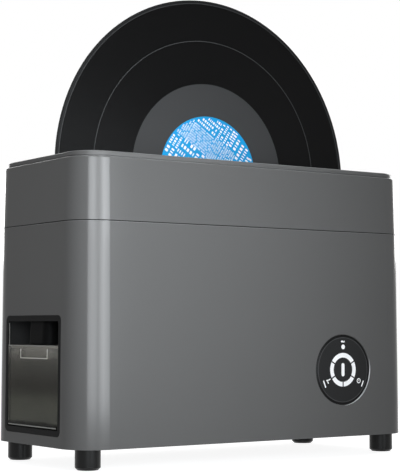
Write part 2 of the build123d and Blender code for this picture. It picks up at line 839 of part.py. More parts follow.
# ================================================================ drive
def gear(centre_x, centre_z, teeth, bore, first_tooth):
    """Spur gear with involute flanks; first_tooth is one tooth's direction in degrees."""
    pitch_radius = gear_module * teeth / 2
    base_radius = pitch_radius * cos(radians(pressure_angle))
    tip_radius = pitch_radius + gear_module
    root_radius = pitch_radius - tooth_root_depth * gear_module
    pitch_involute = tan(radians(pressure_angle)) - radians(pressure_angle)
    half_tooth = pi / (2 * teeth) - tooth_backlash / (2 * pitch_radius)

    def flank_angle(radius):
        """Angle from the middle of a tooth to its flank."""
        contact = acos(base_radius / max(radius, base_radius))
        return half_tooth + pitch_involute - (tan(contact) - contact)

    steps = 4
    radii = [root_radius] + [
        base_radius + (tip_radius - base_radius) * step / steps for step in range(steps + 1)
    ]
    outline = []
    for tooth in range(teeth):
        middle = radians(first_tooth) + 2 * pi * tooth / teeth
        rising = [(radius, middle - flank_angle(radius)) for radius in radii]
        falling = [(radius, middle + flank_angle(radius)) for radius in reversed(radii)]
        outline += [(radius * cos(angle), radius * sin(angle)) for radius, angle in rising + falling]
    with BuildPart() as wheel:
        with BuildSketch(front_view(centre_x, gear_front_y, centre_z)):
            with BuildLine():
                Polyline(*outline, close=True)
            make_face()
            Circle(bore, mode=Mode.SUBTRACT)
        extrude(amount=-gear_width)
    return wheel.part


save(gear(roller_spread, roller_z, roller_gear_teeth, axle_radius, 0), "roller_gear")
save(gear(pinion_x, roller_z, pinion_teeth, motor_shaft_radius, 180 + 180 / pinion_teeth), "motor_pinion")
save(back_rod(pinion_x, gear_front_y, roller_z, motor_shaft_radius,
              gear_width + gear_gap + motor_shaft_end), "motor_shaft")

bracket_low_z = roller_z - gearbox_radius - bracket_margin
bracket_high_z = roller_z + gearbox_radius + bracket_above
bracket_left_x = roller_spread - bracket_left_reach
bracket_right_x = pinion_x + gearbox_radius + bracket_right_reach
post_points = [(bracket_left_x + post_inset, bracket_low_z + post_inset),
               (bracket_left_x + post_inset, bracket_high_z - post_inset),
               (bracket_right_x - post_inset, bracket_high_z - post_inset)]
motor_screw_points = [
    (pinion_x, roller_z + side * (gearbox_radius - screw_head_radius - join)) for side in (-1, 1)
]
with BuildPart() as motor_bracket:
    span_box((bracket_left_x, bracket_y, bracket_low_z),
             (bracket_right_x, bracket_y + bracket_thickness, bracket_high_z))
    fillet(motor_bracket.edges().filter_by(Axis.Y), bracket_corner)
    for x, z in post_points:
        add(back_rod(x, basin_rear_y, z, post_radius, bracket_y - basin_rear_y))
    for x, z in post_points + motor_screw_points:
        add(back_rod(x, bracket_y - post_screw_grip - join, z, clearance_hole,
                     post_screw_grip + join + bracket_thickness), mode=Mode.SUBTRACT)
    add(back_rod(pinion_x, bracket_y, roller_z, motor_shaft_radius + gear_gap, bracket_thickness),
        mode=Mode.SUBTRACT)
save(motor_bracket.part, "motor_bracket")

with BuildPart() as gearbox:
    add(back_rod(pinion_x, gearbox_y, roller_z, gearbox_radius, gearbox_length))
    chamfer(gearbox.edges().filter_by(GeomType.CIRCLE), gearbox_chamfer)
    add(back_rod(pinion_x, gearbox_y, roller_z, motor_shaft_radius + running_gap, motor_shaft_end),
        mode=Mode.SUBTRACT)
    for x, z in motor_screw_points:
        add(back_rod(x, gearbox_y, z, screw_radius + running_gap, motor_screw_grip + join),
            mode=Mode.SUBTRACT)
save(gearbox.part, "gearbox")
with BuildPart() as drive_motor:
    add(back_rod(pinion_x, motor_y, roller_z, motor_radius, motor_length))
    chamfer(drive_motor.edges().filter_by(GeomType.CIRCLE), motor_chamfer)
    terminal_y = motor_y + motor_length
    for side in (-1, 1):
        x = pinion_x + side * terminal_spread
        span_box((x - terminal_width / 2, terminal_y - join, roller_z - terminal_thickness / 2),
                 (x + terminal_width / 2, terminal_y + terminal_length, roller_z + terminal_thickness / 2))
save(drive_motor.part, "drive_motor")
with BuildPart() as basin_screws:
    add(screws(basin_screw_seats, (0, 0, -1), basin_screw_length))
    add(screws([(x, bracket_y, z) for x, z in motor_screw_points], (0, 1, 0),
               bracket_thickness + motor_screw_grip))
    add(screws([(x, gearbox_y, z) for x, z in post_points], (0, -1, 0),
               bracket_thickness + post_screw_grip))
save(basin_screws.part, "basin_screws")

# ================================================================ transducers


def transducer_pair(make):
    """The same piece on the front and the rear wall of the basin."""
    with BuildPart() as pair:
        for side, wall_y in ((-1, basin_front_y), (1, basin_rear_y)):
            add(make(wall_y, side))
    return pair.part


def horn(wall_y, side):
    """Flared front mass, wide where it is bonded to the basin."""
    section = Plane(origin=(0, wall_y, transducer_z), x_dir=(1, 0, 0), z_dir=(0, 0, side))
    return turned(section, [
        (0, 0), (horn_foot_radius, 0), (horn_foot_radius, horn_foot_thickness),
        (horn_neck_radius, horn_length), (0, horn_length),
    ])


def stack_rod(wall_y, side, start, outer, length, inner=0.0):
    """Rod or tube of a transducer's stack, start away from the basin's wall."""
    seat = Plane(origin=(0, wall_y + side * start, transducer_z), z_dir=(0, side, 0))
    return rod(seat, outer, length, inner)


def piezo_rings_of(wall_y, side):
    """Two ceramic rings."""
    with BuildPart() as rings:
        for place in range(2):
            start = horn_length + place * (piezo_thickness + piezo_gap)
            add(stack_rod(wall_y, side, start, piezo_radius, piezo_thickness, piezo_bore))
    return rings.part


tail_start = horn_length + 2 * (piezo_thickness + piezo_gap)


def tail_mass_of(wall_y, side):
    """Steel mass that clamps the rings."""
    return stack_rod(wall_y, side, tail_start, piezo_radius, tail_length, transducer_bolt_radius)


def transducer_bolt_of(wall_y, side):
    """Bolt through the stack, with its hexagon head behind the tail mass."""
    head_plane = Plane(origin=(0, wall_y + side * (tail_start + tail_length), transducer_z),
                       z_dir=(0, side, 0))
    with BuildPart() as bolt:
        shank_length = tail_start + tail_length - horn_length
        add(stack_rod(wall_y, side, horn_length, transducer_bolt_radius, shank_length))
        with BuildSketch(head_plane):
            RegularPolygon(transducer_head_radius, 6)
        extrude(amount=transducer_head_height)
    return bolt.part


save(transducer_pair(horn), "transducer_horns")
save(transducer_pair(piezo_rings_of), "piezo_rings")
save(transducer_pair(tail_mass_of), "transducer_tail_masses")
save(transducer_pair(transducer_bolt_of), "transducer_bolts")

# ================================================================ tank bay
bay_half_width = bay_bezel_half_width - bay_bezel_side
bay_floor_z = bay_bezel_low_z + bay_bezel_width
bay_ceiling_z = bay_bezel_high_z - bay_bezel_width
bezel_face_x = lean(bezel_centre_z) - half_length
tank_front_x = bezel_face_x - tank_proud
tank_back_x = tank_front_x + tank_length
bay_back_x = tank_back_x + bay_back_gap
throat_x = bezel_face_x + bay_throat_inset
spout_x = bezel_face_x + spout_from_front


def bay_section(growth):
    """Side view of the bay: its upper inner corner keeps clear of the round basin."""
    reach = basin_outer_radius + bay_to_basin + bay_wall - growth
    ceiling = bay_ceiling_z + growth
    back = bay_back_x + growth
    corner_on_ceiling = -sqrt(reach**2 - (record_centre_z - ceiling) ** 2)
    corner_on_back = record_centre_z - sqrt(reach**2 - back**2)
    with BuildSketch(front_view(0, bay_y, 0)) as section:
        with BuildLine():
            Polyline(
                (throat_x, bay_floor_z - growth), (back, bay_floor_z - growth),
                (back, corner_on_back), (corner_on_ceiling, ceiling), (throat_x, ceiling),
                close=True,
            )
        make_face()
    return section.sketch


with BuildPart() as tank_bay:
    extrude(bay_section(bay_wall), amount=bay_half_width + bay_wall, both=True)
    add(plate_on(bezel_plane, 2 * bay_bezel_half_width, bezel_height, bay_bezel_radius,
                 0, wall + fit_gap))
    add(plate_on(bezel_plane, 2 * (bay_bezel_half_width + panel_flange), bezel_height + 2 * panel_flange,
                 bay_bezel_radius, wall + fit_gap, wall + fit_gap + flange_depth))
    extrude(bay_section(0), amount=bay_half_width, both=True, mode=Mode.SUBTRACT)
    with BuildPart(mode=Mode.PRIVATE) as bay_mouth:
        span_box((bezel_face_x - cut_over, bay_y - bay_half_width, bay_floor_z),
                 (bezel_face_x + bay_mouth_depth, bay_y + bay_half_width, bay_ceiling_z))
        fillet(bay_mouth.edges().filter_by(Axis.X), bay_mouth_radius)
    add(bay_mouth.part, mode=Mode.SUBTRACT)
    add(upright_rod(spout_x, bay_y, bay_ceiling_z - join, nipple_radius + fit_gap,
                    bay_wall + join + cut_over), mode=Mode.SUBTRACT)
save(tank_bay.part, "tank_bay")

spout_low_z = tank_top_z + spout_gap
spout_height = bay_ceiling_z - spout_low_z
with BuildPart() as drain_spout:
    with BuildSketch(Plane.XY.offset(spout_low_z)):
        with Locations((spout_x, bay_y)):
            RectangleRounded(spout_length, spout_width, spout_end_radius)
    extrude(amount=spout_height, taper=spout_draft)
    with BuildSketch(Plane.XY.offset(spout_low_z)):
        with Locations((spout_x, bay_y)):
            RectangleRounded(spout_length - 2 * spout_wall, spout_width - 2 * spout_wall,
                             spout_end_radius - spout_wall)
    extrude(amount=spout_height - spout_roof, taper=spout_draft, mode=Mode.SUBTRACT)
    nipple_length = bay_wall + spout_nipple_height
    add(upright_rod(spout_x, bay_y, bay_ceiling_z - join, nipple_radius, nipple_length + join))
    add(upright_rod(spout_x, bay_y, spout_low_z, nipple_bore, spout_height + nipple_length + cut_over),
        mode=Mode.SUBTRACT)
save(drain_spout.part, "drain_spout")

# ================================================================ water tank
tank_half_width = bay_half_width - tank_side_gap
tank_low_z = bay_floor_z + tank_floor_gap
lid_top_z = tank_top_z - lid_drop
lid_low_z = lid_top_z - lid_thickness
tank_middle_x = (tank_front_x + tank_back_x) / 2


def tank_outline(z, inset):
    """Plan of the tank at height z, inset from its outer faces."""
    with BuildSketch(Plane.XY.offset(z)) as outline:
        with Locations((tank_middle_x, bay_y)):
            RectangleRounded(tank_length - 2 * inset, 2 * (tank_half_width - inset),
                             max(tank_radius - inset, tank_inner_radius))
    return outline.sketch


with BuildPart() as water_tank:
    extrude(tank_outline(tank_low_z, 0), amount=tank_top_z - tank_low_z)
    chamfer(water_tank.faces().sort_by(Axis.Z)[0].edges(), tank_foot_chamfer)
    hollow_height = lid_low_z - ledge_height - tank_low_z - tank_wall
    extrude(tank_outline(tank_low_z + tank_wall, tank_wall), amount=hollow_height, mode=Mode.SUBTRACT)
    extrude(tank_outline(lid_low_z - ledge_height - join, tank_wall + ledge_width),
            amount=ledge_height + 2 * join, mode=Mode.SUBTRACT)
    extrude(tank_outline(lid_low_z, tank_wall), amount=tank_top_z - lid_low_z + cut_over,
            mode=Mode.SUBTRACT)
save(water_tank.part, "water_tank")

mouth_x = tank_front_x + tank_wall + fit_gap + basket_rim + mouth_length / 2
with BuildPart() as tank_lid:
    extrude(tank_outline(lid_low_z, tank_wall + fit_gap), amount=lid_thickness)
    with BuildSketch(Plane.XY.offset(lid_top_z)):
        with Locations((mouth_x, bay_y)):
            RectangleRounded(mouth_length, mouth_width, mouth_radius)
    extrude(amount=-lid_thickness, mode=Mode.SUBTRACT)
save(tank_lid.part, "tank_lid")


def basket_outline(z, inset):
    """Plan of the filter basket at height z, inset from the lid's mouth."""
    with BuildSketch(Plane.XY.offset(z)) as outline:
        with Locations((mouth_x, bay_y)):
            RectangleRounded(mouth_length - 2 * inset, mouth_width - 2 * inset, mouth_radius - inset)
    return outline.sketch


basket_low_z = tank_top_z - basket_depth
with BuildPart() as filter_basket:
    extrude(basket_outline(basket_low_z, fit_gap), amount=lid_top_z - basket_low_z)
    extrude(basket_outline(lid_top_z, -basket_rim), amount=lid_drop)
    extrude(basket_outline(basket_low_z + basket_wall, fit_gap + basket_wall), amount=basket_depth,
            mode=Mode.SUBTRACT)
    with BuildSketch(Plane.XY.offset(basket_low_z)):
        with Locations((mouth_x, bay_y)):
            with GridLocations(mesh_pitch, mesh_pitch, *mesh_count):
                Circle(mesh_hole_radius)
    extrude(amount=basket_wall, mode=Mode.SUBTRACT)
save(filter_basket.part, "filter_basket")

# ================================================================ control panel
fascia_back_depth = panel_recess + fascia_thickness
flange_start_depth = wall + fit_gap
flange_end_depth = flange_start_depth + flange_depth
fascia_radius = panel_radius - fit_gap
fascia_flange_radius = panel_radius + panel_flange
board_radius = fascia_flange_radius - 0.5
panel_post_place = fascia_flange_radius - panel_post_radius - panel_post_inset
panel_post_angles = (90, 210, 330)


def ring_segments(outer_depth, inner_depth, play):
    """Five curved light segments on the panel, or their slots, between two depths."""
    with BuildPart() as segments:
        with BuildSketch(panel_plane.offset(-outer_depth)):
            Circle(light_ring_outer - play)
            Circle(light_ring_inner + play, mode=Mode.SUBTRACT)
            for angle in light_spoke_angles:
                middle = (light_ring_inner + light_ring_outer) / 2
                place = (middle * cos(radians(angle)), middle * sin(radians(angle)))
                with Locations(place):
                    Rectangle(light_ring_outer - light_ring_inner + cut_over,
                              light_spoke_width + 2 * play, rotation=angle, mode=Mode.SUBTRACT)
        extrude(amount=outer_depth - inner_depth)
    return segments.part


def panel_points(radius, angles, depth):
    """Points on a circle about the panel's centre, at a depth."""
    plane = panel_plane.offset(-depth)
    return [
        plane.from_local_coords(Vector(radius * cos(radians(a)), radius * sin(radians(a)), 0))
        for a in angles
    ]


def panel_rods(radius, angles, depth, outer, length, inner=0.0):
    """Rods on a circle about the panel's centre, running inwards from a depth."""
    with BuildPart() as group:
        for point in panel_points(radius, angles, depth):
            add(rod(Plane(origin=point, z_dir=-panel_plane.z_dir), outer, length, inner))
    return group.part


with BuildPart() as panel_fascia:
    add(turned(panel_section, [
        (button_radius + button_gap, panel_recess),
        (fascia_radius - fascia_bevel, panel_recess),
        (fascia_radius, panel_recess + fascia_bevel_drop),
        (fascia_radius, flange_start_depth),
        (fascia_flange_radius, flange_start_depth),
        (fascia_flange_radius, flange_end_depth),
        (fascia_radius - fascia_rim_width, flange_end_depth),
        (fascia_radius - fascia_rim_width, fascia_back_depth),
        (button_radius + button_gap, fascia_back_depth),
    ]))
    add(ring_segments(panel_recess, fascia_back_depth, 0), mode=Mode.SUBTRACT)
    add(panel_rods(panel_post_place, panel_post_angles, flange_end_depth, panel_post_radius,
                   panel_board_depth - flange_end_depth))
    add(panel_rods(panel_post_place, panel_post_angles, flange_end_depth, screw_radius,
                   panel_board_depth - flange_end_depth), mode=Mode.SUBTRACT)
save(panel_fascia.part, "panel_fascia")
save(ring_segments(panel_recess, fascia_back_depth, light_play), "light_ring")

button_flange_depth = fascia_back_depth + fit_gap
button_back_depth = button_flange_depth + button_flange_thickness
switch_height = panel_board_depth - button_back_depth - button_travel - switch_gap
with BuildPart() as start_button:
    add(turned(panel_section, [
        (0, panel_recess), (button_radius - button_edge, panel_recess),
        (button_radius, panel_recess + button_edge),
        (button_radius, button_flange_depth),
        (button_radius + button_flange, button_flange_depth),
        (button_radius + button_flange, button_back_depth),
        (0, button_back_depth),
    ]))
    with BuildSketch(panel_plane.offset(-panel_recess)):
        SlotOverall(bar_length, bar_width, rotation=90)
    extrude(amount=-bar_depth, mode=Mode.SUBTRACT)
save(start_button.part, "start_button")
with BuildPart() as button_bar:
    with BuildSketch(panel_plane.offset(-panel_recess)):
        SlotOverall(bar_length - 2 * light_play, bar_width - 2 * light_play, rotation=90)
    extrude(amount=-bar_depth)
save(button_bar.part, "button_bar")

led_angles = (0, 60, 90, 120, 180, 240, 300)
with BuildPart() as panel_board:
    add(rod(panel_plane.offset(-panel_board_depth), board_radius, -board_thickness))
    add(panel_rods(panel_post_place, panel_post_angles, panel_board_depth, clearance_hole,
                   board_thickness), mode=Mode.SUBTRACT)
    # Light-emitting diodes under the ring.
    add(panel_rods(light_ring_outer + led_offset, led_angles, panel_board_depth - led_height,
                   led_radius, led_height))
save(panel_board.part, "panel_board")
with BuildPart() as panel_switch:
    with BuildSketch(panel_plane.offset(-panel_board_depth)):
        Rectangle(switch_size, switch_size)
    extrude(amount=switch_height)
save(panel_switch.part, "panel_switch")
panel_screw_seats = panel_points(panel_post_place, panel_post_angles, panel_board_depth + board_thickness)

# ================================================================ drying blower
inner_rear_y = half_depth - wall - lean(blower_z)
blower_back_y = inner_rear_y - flange_depth - filter_thickness - filter_gap
blower_front_y = blower_back_y - blower_depth
impeller_depth = blower_depth - 2 * (blower_wall + impeller_gap)


def volute_section(growth, headroom):
    """Front view of the blower's air passage, grown outwards."""
    with BuildSketch(front_view(blower_x, blower_front_y, blower_z)) as section:
        Circle(blower_radius + growth - blower_wall)
        with Locations((blower_wall - growth - blower_radius, 0)):
            Rectangle(
                blower_outlet_width - 2 * blower_wall + 2 * growth,
                duct_low_z - blower_z + headroom,
                align=(Align.MIN, Align.MIN),
            )
    return section.sketch


with BuildPart() as blower_housing:
    extrude(volute_section(blower_wall, 0), amount=-blower_depth)
    extrude(volute_section(0, cut_over).moved(Location((0, blower_wall, 0))),
            amount=2 * blower_wall - blower_depth, mode=Mode.SUBTRACT)
    add(back_rod(blower_x, blower_back_y - blower_wall - join, blower_z, blower_inlet_radius,
                 blower_inlet_depth), mode=Mode.SUBTRACT)
    add(back_rod(blower_x, blower_front_y - join, blower_z, blower_shaft_radius + blower_shaft_play,
                 blower_wall + 2 * join), mode=Mode.SUBTRACT)
save(blower_housing.part, "blower_housing")

shaft_front_y = blower_front_y - blower_motor_length / 2
with BuildPart() as blower_impeller:
    impeller_y = blower_front_y + blower_wall + impeller_gap
    hub_height = impeller_depth * 2 / 3
    add(back_rod(blower_x, impeller_y, blower_z, impeller_radius, impeller_plate))
    add(turned(Plane(origin=(blower_x, impeller_y, blower_z)), [
        (0, 0), (impeller_hub_radius, 0), (impeller_hub_radius, impeller_hub_foot),
        (impeller_hub_top_radius, hub_height), (0, hub_height),
    ]))
    add(back_rod(blower_x, impeller_y + impeller_depth - impeller_plate, blower_z, impeller_radius,
                 impeller_plate, impeller_radius - impeller_ring_width))
    add(back_rod(blower_x, shaft_front_y, blower_z, blower_shaft_radius, blower_shaft_length))
    with BuildSketch(front_view(blower_x, impeller_y, blower_z)):
        with PolarLocations(impeller_radius - blade_length / 2 - blade_thickness / 2, impeller_blades):
            Rectangle(blade_length, blade_thickness, rotation=blade_angle)
    extrude(amount=-impeller_depth)
save(blower_impeller.part, "blower_impeller")

with BuildPart() as blower_motor:
    add(back_rod(blower_x, blower_front_y - blower_motor_length, blower_z, blower_motor_radius,
                 blower_motor_length))
    chamfer(blower_motor.edges().filter_by(GeomType.CIRCLE).sort_by(Axis.Y)[0], motor_chamfer)
    add(back_rod(blower_x, shaft_front_y - axle_end_gap, blower_z, blower_shaft_radius + running_gap,
                 blower_motor_length), mode=Mode.SUBTRACT)
save(blower_motor.part, "blower_motor")


def duct_section(inset):
    """Side view of the duct from the blower's outlet to the basin, inset from its skin."""
    plane = Plane(origin=(duct_left_x, 0, 0), x_dir=(0, 1, 0), z_dir=(1, 0, 0))
    with BuildSketch(plane) as section:
        with BuildLine():
            Polyline(
                (basin_rear_y, duct_low_z + inset),
                (blower_back_y - inset, duct_low_z + inset),
                (blower_back_y - inset, duct_low_z + duct_height - duct_slope),
                (blower_back_y - duct_slope, duct_low_z + duct_height - inset),
                (basin_rear_y, duct_low_z + duct_height - inset),
                close=True,
            )
        make_face()
    return section.sketch


with BuildPart() as air_duct:
    extrude(duct_section(0), amount=blower_outlet_width)
    extrude(duct_section(blower_wall).moved(Location((blower_wall, 0, 0))),
            amount=blower_outlet_width - 2 * blower_wall, mode=Mode.SUBTRACT)
    span_box(
        (duct_left_x + blower_wall, blower_front_y + blower_wall, duct_low_z - cut_over),
        (duct_left_x + blower_outlet_width - blower_wall, blower_back_y - blower_wall,
         duct_low_z + blower_wall + join),
        mode=Mode.SUBTRACT,
    )
save(air_duct.part, "air_duct")

with BuildPart() as rear_grille:
    lip_size = grille_size + 2 * grille_lip
    add(plate_on(grille_plane, grille_size, grille_size, grille_radius, 0, wall + fit_gap))
    add(plate_on(grille_plane, lip_size, lip_size, grille_radius + join, wall + fit_gap,
                 wall + fit_gap + flange_depth))
    with BuildSketch(grille_plane.offset(cut_over)):
        with GridLocations(0, grille_size / (grille_slots + 1), 1, grille_slots):
            SlotOverall(grille_size - 2 * grille_slot_margin, grille_slot_width)
    extrude(amount=-wall - flange_depth - 2 * cut_over, mode=Mode.SUBTRACT)
save(rear_grille.part, "rear_grille")
filter_half_size = grille_size / 2 - filter_margin
with BuildPart() as dust_filter:
    span_box((blower_x - filter_half_size, blower_back_y, blower_z - filter_half_size),
             (blower_x + filter_half_size, blower_back_y + filter_thickness, blower_z + filter_half_size))
save(dust_filter.part, "dust_filter")

# ================================================================ drain pump and hoses
pump_y = record_y
pump_outlet_z = pump_low_z + pump_height / 2
pump_outlet_x = pump_x + pump_radius - pump_outlet_inset
pump_outlet_y = pump_y - pump_radius - pump_outlet_length

save(upright_rod(pump_x, pump_y, pump_motor_low_z, pump_motor_radius, pump_motor_height), "pump_motor")
with BuildPart() as pump_housing:
    add(upright_rod(pump_x, pump_y, pump_low_z, pump_radius, pump_height))
    fillet(pump_housing.edges().filter_by(GeomType.CIRCLE), pump_edge)
    add(upright_rod(pump_x, pump_y, pump_top_z - join, nipple_radius, pump_nipple_length + join))
    add(rod(Plane(origin=(pump_outlet_x, pump_y, pump_outlet_z), z_dir=(0, -1, 0)), nipple_radius,
            pump_y - pump_outlet_y))
    add(upright_rod(pump_x, pump_y, pump_low_z + pump_wall, pump_radius - pump_wall,
                    pump_height - 2 * pump_wall), mode=Mode.SUBTRACT)
    add(upright_rod(pump_x, pump_y, pump_top_z - pump_wall - join, nipple_bore,
                    pump_wall + join + pump_nipple_length + cut_over), mode=Mode.SUBTRACT)
    add(upright_rod(pump_x, pump_y, pump_low_z - join, pump_shaft_radius + pump_shaft_play,
                    pump_wall + 2 * join), mode=Mode.SUBTRACT)
    add(rod(Plane(origin=(pump_outlet_x, pump_y, pump_outlet_z), z_dir=(0, -1, 0)), nipple_bore,
            pump_y - pump_outlet_y + cut_over), mode=Mode.SUBTRACT)
save(pump_housing.part, "pump_housing")
with BuildPart() as pump_impeller:
    impeller_low_z = pump_low_z + pump_wall + join
    add(upright_rod(pump_x, pump_y, impeller_low_z, pump_radius - pump_wall - pump_impeller_gap,
                    pump_plate))
    add(upright_rod(pump_x, pump_y, pump_low_z + fit_gap, pump_shaft_radius, pump_shaft_length))
    add(upright_rod(pump_x, pump_y, impeller_low_z, pump_hub_radius, pump_vane_height))
    with BuildSketch(Plane.XY.offset(impeller_low_z)):
        with Locations((pump_x, pump_y)):
            with PolarLocations(pump_vane_radius, pump_vane_count):
                Rectangle(pump_vane_length, pump_plate)
    extrude(amount=pump_vane_height)
save(pump_impeller.part, "pump_impeller")

hose_outer = hose_bore + hose_wall
save(upright_rod(pump_x, pump_y, pump_top_z, hose_outer, pump_hose_gap + inlet_hose_overlap, hose_bore),
     "pump_inlet_hose")

hose_route_x = bay_back_x + bay_wall + hose_outer + hose_behind_bay
hose_route_z = bay_ceiling_z + bay_wall + hose_above_bay
hose_route_y = bay_y - bay_half_width - hose_gap
hose_start_y = pump_y - pump_radius - hose_gap
with BuildPart() as drain_hose:
    with BuildLine() as hose_line:
        FilletPolyline(
            (pump_outlet_x, hose_start_y, pump_outlet_z),
            (pump_outlet_x, hose_route_y, pump_outlet_z),
            (hose_route_x, hose_route_y, pump_outlet_z + hose_rise),
            (hose_route_x, hose_route_y, hose_route_z),
            (spout_x, hose_route_y, hose_route_z),
            (spout_x, bay_y, hose_route_z),
            (spout_x, bay_y, bay_ceiling_z + bay_wall + fit_gap),
            radius=hose_bend,
        )
    with BuildSketch(Plane(origin=hose_line.line @ 0, z_dir=hose_line.line % 0)):
        Circle(hose_outer)
        Circle(hose_bore, mode=Mode.SUBTRACT)
    sweep()
save(drain_hose.part, "drain_hose")

# ================================================================ electronics and power
board_z = base_top_z + standoff_height
board_top_z = board_z + board_thickness
board_middle_x = (board_left_x + board_right_x) / 2
board_hole_x = board_length / 2 - board_hole_inset
board_hole_y = board_width / 2 - board_hole_inset
board_hole_points = [
    (board_middle_x + x, board_middle_y + y) for x, y in mirrored_points(board_hole_x, board_hole_y)
]


def board_block(place, size, lift=0.0):
    """Block on the main board: its middle is at a place from the board's front left corner."""
    x = board_left_x + place[0]
    y = board_front_y + place[1]
    low_z = board_top_z + lift
    half_x = size[0] / 2
    half_y = size[1] / 2
    span_box((x - half_x, y - half_y, low_z), (x + half_x, y + half_y, low_z + size[2]))


with BuildPart() as main_board:
    span_box((board_left_x, board_front_y, board_z), (board_right_x, board_rear_y, board_top_z))
    for x, y in board_hole_points:
        add(upright_rod(x, y, board_z, clearance_hole, board_thickness), mode=Mode.SUBTRACT)
save(main_board.part, "main_board")
with BuildPart() as board_standoffs:
    for x, y in board_hole_points:
        add(upright_rod(x, y, base_top_z, standoff_radius, standoff_height, screw_radius))
save(board_standoffs.part, "board_standoffs")
with BuildPart() as board_screws:
    add(screws([(x, y, board_top_z) for x, y in board_hole_points], (0, 0, -1),
               board_thickness + board_screw_grip))
    add(screws(panel_screw_seats, panel_plane.z_dir, board_thickness + panel_screw_grip))
save(board_screws.part, "board_screws")
with BuildPart() as board_components:
    # Transformer with its core, capacitors and chips.
    board_block(transformer_place, transformer_size)
    board_block(transformer_place, coil_size, transformer_size[2])
    for place_x, place_y in capacitor_places:
        add(upright_rod(board_left_x + place_x, board_front_y + place_y, board_top_z,
                        capacitor_radius, capacitor_height))
    for place in chip_places:
        board_block(place, chip_size)
save(board_components.part, "board_components")
with BuildPart() as board_heat_sink:
    board_block(heat_sink_place, heat_sink_size)
    fin_start_x = heat_sink_place[0] - heat_sink_size[0] / 2 + fin_size[0] / 2
    fin_y = heat_sink_place[1] + heat_sink_size[1] / 2 + fin_size[1] / 2
    for fin in range(fin_count):
        board_block((fin_start_x + fin * fin_pitch, fin_y), fin_size, heat_sink_size[2] - fin_size[2])
save(board_heat_sink.part, "board_heat_sink")
with BuildPart() as power_inlet:
    add(rod(inlet_plane, power_inlet_radius, -power_inlet_depth))
    add(rod(inlet_plane.offset(-wall - fit_gap), power_inlet_radius + power_inlet_collar, -flange_depth))
    add(rod(inlet_plane, power_bore_radius, -power_bore_depth), mode=Mode.SUBTRACT)
    pin_length = power_bore_depth - power_pin_drop + join
    add(rod(inlet_plane.offset(-power_pin_drop), power_pin_radius, -pin_length))
save(power_inlet.part, "power_inlet")
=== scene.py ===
import json
import math
import random

import bmesh
import bpy
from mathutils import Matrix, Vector


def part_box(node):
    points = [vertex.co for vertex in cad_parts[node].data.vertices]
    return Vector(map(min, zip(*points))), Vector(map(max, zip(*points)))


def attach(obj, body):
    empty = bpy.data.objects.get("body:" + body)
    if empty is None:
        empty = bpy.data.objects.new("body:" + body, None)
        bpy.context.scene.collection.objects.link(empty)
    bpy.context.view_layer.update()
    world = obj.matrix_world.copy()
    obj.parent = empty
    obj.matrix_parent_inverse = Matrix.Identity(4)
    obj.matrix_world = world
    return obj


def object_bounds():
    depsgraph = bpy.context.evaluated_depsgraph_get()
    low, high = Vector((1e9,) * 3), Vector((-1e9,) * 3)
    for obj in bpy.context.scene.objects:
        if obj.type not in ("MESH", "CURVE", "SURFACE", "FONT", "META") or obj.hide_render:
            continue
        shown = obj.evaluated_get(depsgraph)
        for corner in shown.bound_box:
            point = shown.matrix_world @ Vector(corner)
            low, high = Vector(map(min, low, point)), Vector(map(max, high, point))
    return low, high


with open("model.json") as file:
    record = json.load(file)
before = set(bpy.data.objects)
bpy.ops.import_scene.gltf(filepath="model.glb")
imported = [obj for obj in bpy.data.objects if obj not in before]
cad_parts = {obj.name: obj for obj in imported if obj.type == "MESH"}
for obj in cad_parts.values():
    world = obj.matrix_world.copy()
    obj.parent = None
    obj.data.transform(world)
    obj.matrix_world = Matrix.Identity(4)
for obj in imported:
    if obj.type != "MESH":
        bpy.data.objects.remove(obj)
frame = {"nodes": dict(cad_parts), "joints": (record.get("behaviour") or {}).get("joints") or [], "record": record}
cad_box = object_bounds()

MM = 0.001
nodes = frame["nodes"]
joints = {joint["name"]: joint for joint in frame["joints"]}

# ------------------------------------------------------------------ camera
CAMERA_PLACE = Vector((-716.8, -1011.8, 109.0)) * MM   # fitted to the record and the housing's edges
CAMERA_YAW = 0.6119             # radians to the right of straight in
CAMERA_PITCH = 0.0629           # radians up from level
FOCAL_LENGTH = 109.946          # millimetres
SENSOR_WIDTH = 36.0             # millimetres
VIEW_DEPTH = 50.0               # metres that the camera sees


def make_camera():
    """Camera at the photograph's place and direction."""
    data = bpy.data.cameras.new("camera")
    data.lens = FOCAL_LENGTH
    data.sensor_width = SENSOR_WIDTH
    data.clip_end = VIEW_DEPTH
    camera = bpy.data.objects.new("camera", data)
    bpy.context.scene.collection.objects.link(camera)
    forward = Vector((
        math.sin(CAMERA_YAW) * math.cos(CAMERA_PITCH),
        math.cos(CAMERA_YAW) * math.cos(CAMERA_PITCH),
        math.sin(CAMERA_PITCH),
    ))
    camera.location = CAMERA_PLACE
    camera.rotation_euler = forward.to_track_quat("-Z", "Y").to_euler()
    bpy.context.scene.camera = camera


make_camera()
bpy.context.scene.view_settings.view_transform = "Standard"


# ------------------------------------------------------------------ node helpers
def new_material(name):
    """Empty node material with an output and a Principled shader."""
    material = bpy.data.materials.new(name)
    material.use_nodes = True
    tree = material.node_tree
    tree.nodes.clear()
    output = tree.nodes.new("ShaderNodeOutputMaterial")
    shader = tree.nodes.new("ShaderNodeBsdfPrincipled")
    tree.links.new(shader.outputs["BSDF"], output.inputs["Surface"])
    return material, tree, shader


def grey(level):
    """Grey as three numbers."""
    return (level, level, level)


def rgba(colour):
    """RGBA from three numbers."""
    return (colour[0], colour[1], colour[2], 1.0)


def place_coordinates(tree):
    """Object coordinates, which stay with the piece."""
    return tree.nodes.new("ShaderNodeTexCoord").outputs["Object"]


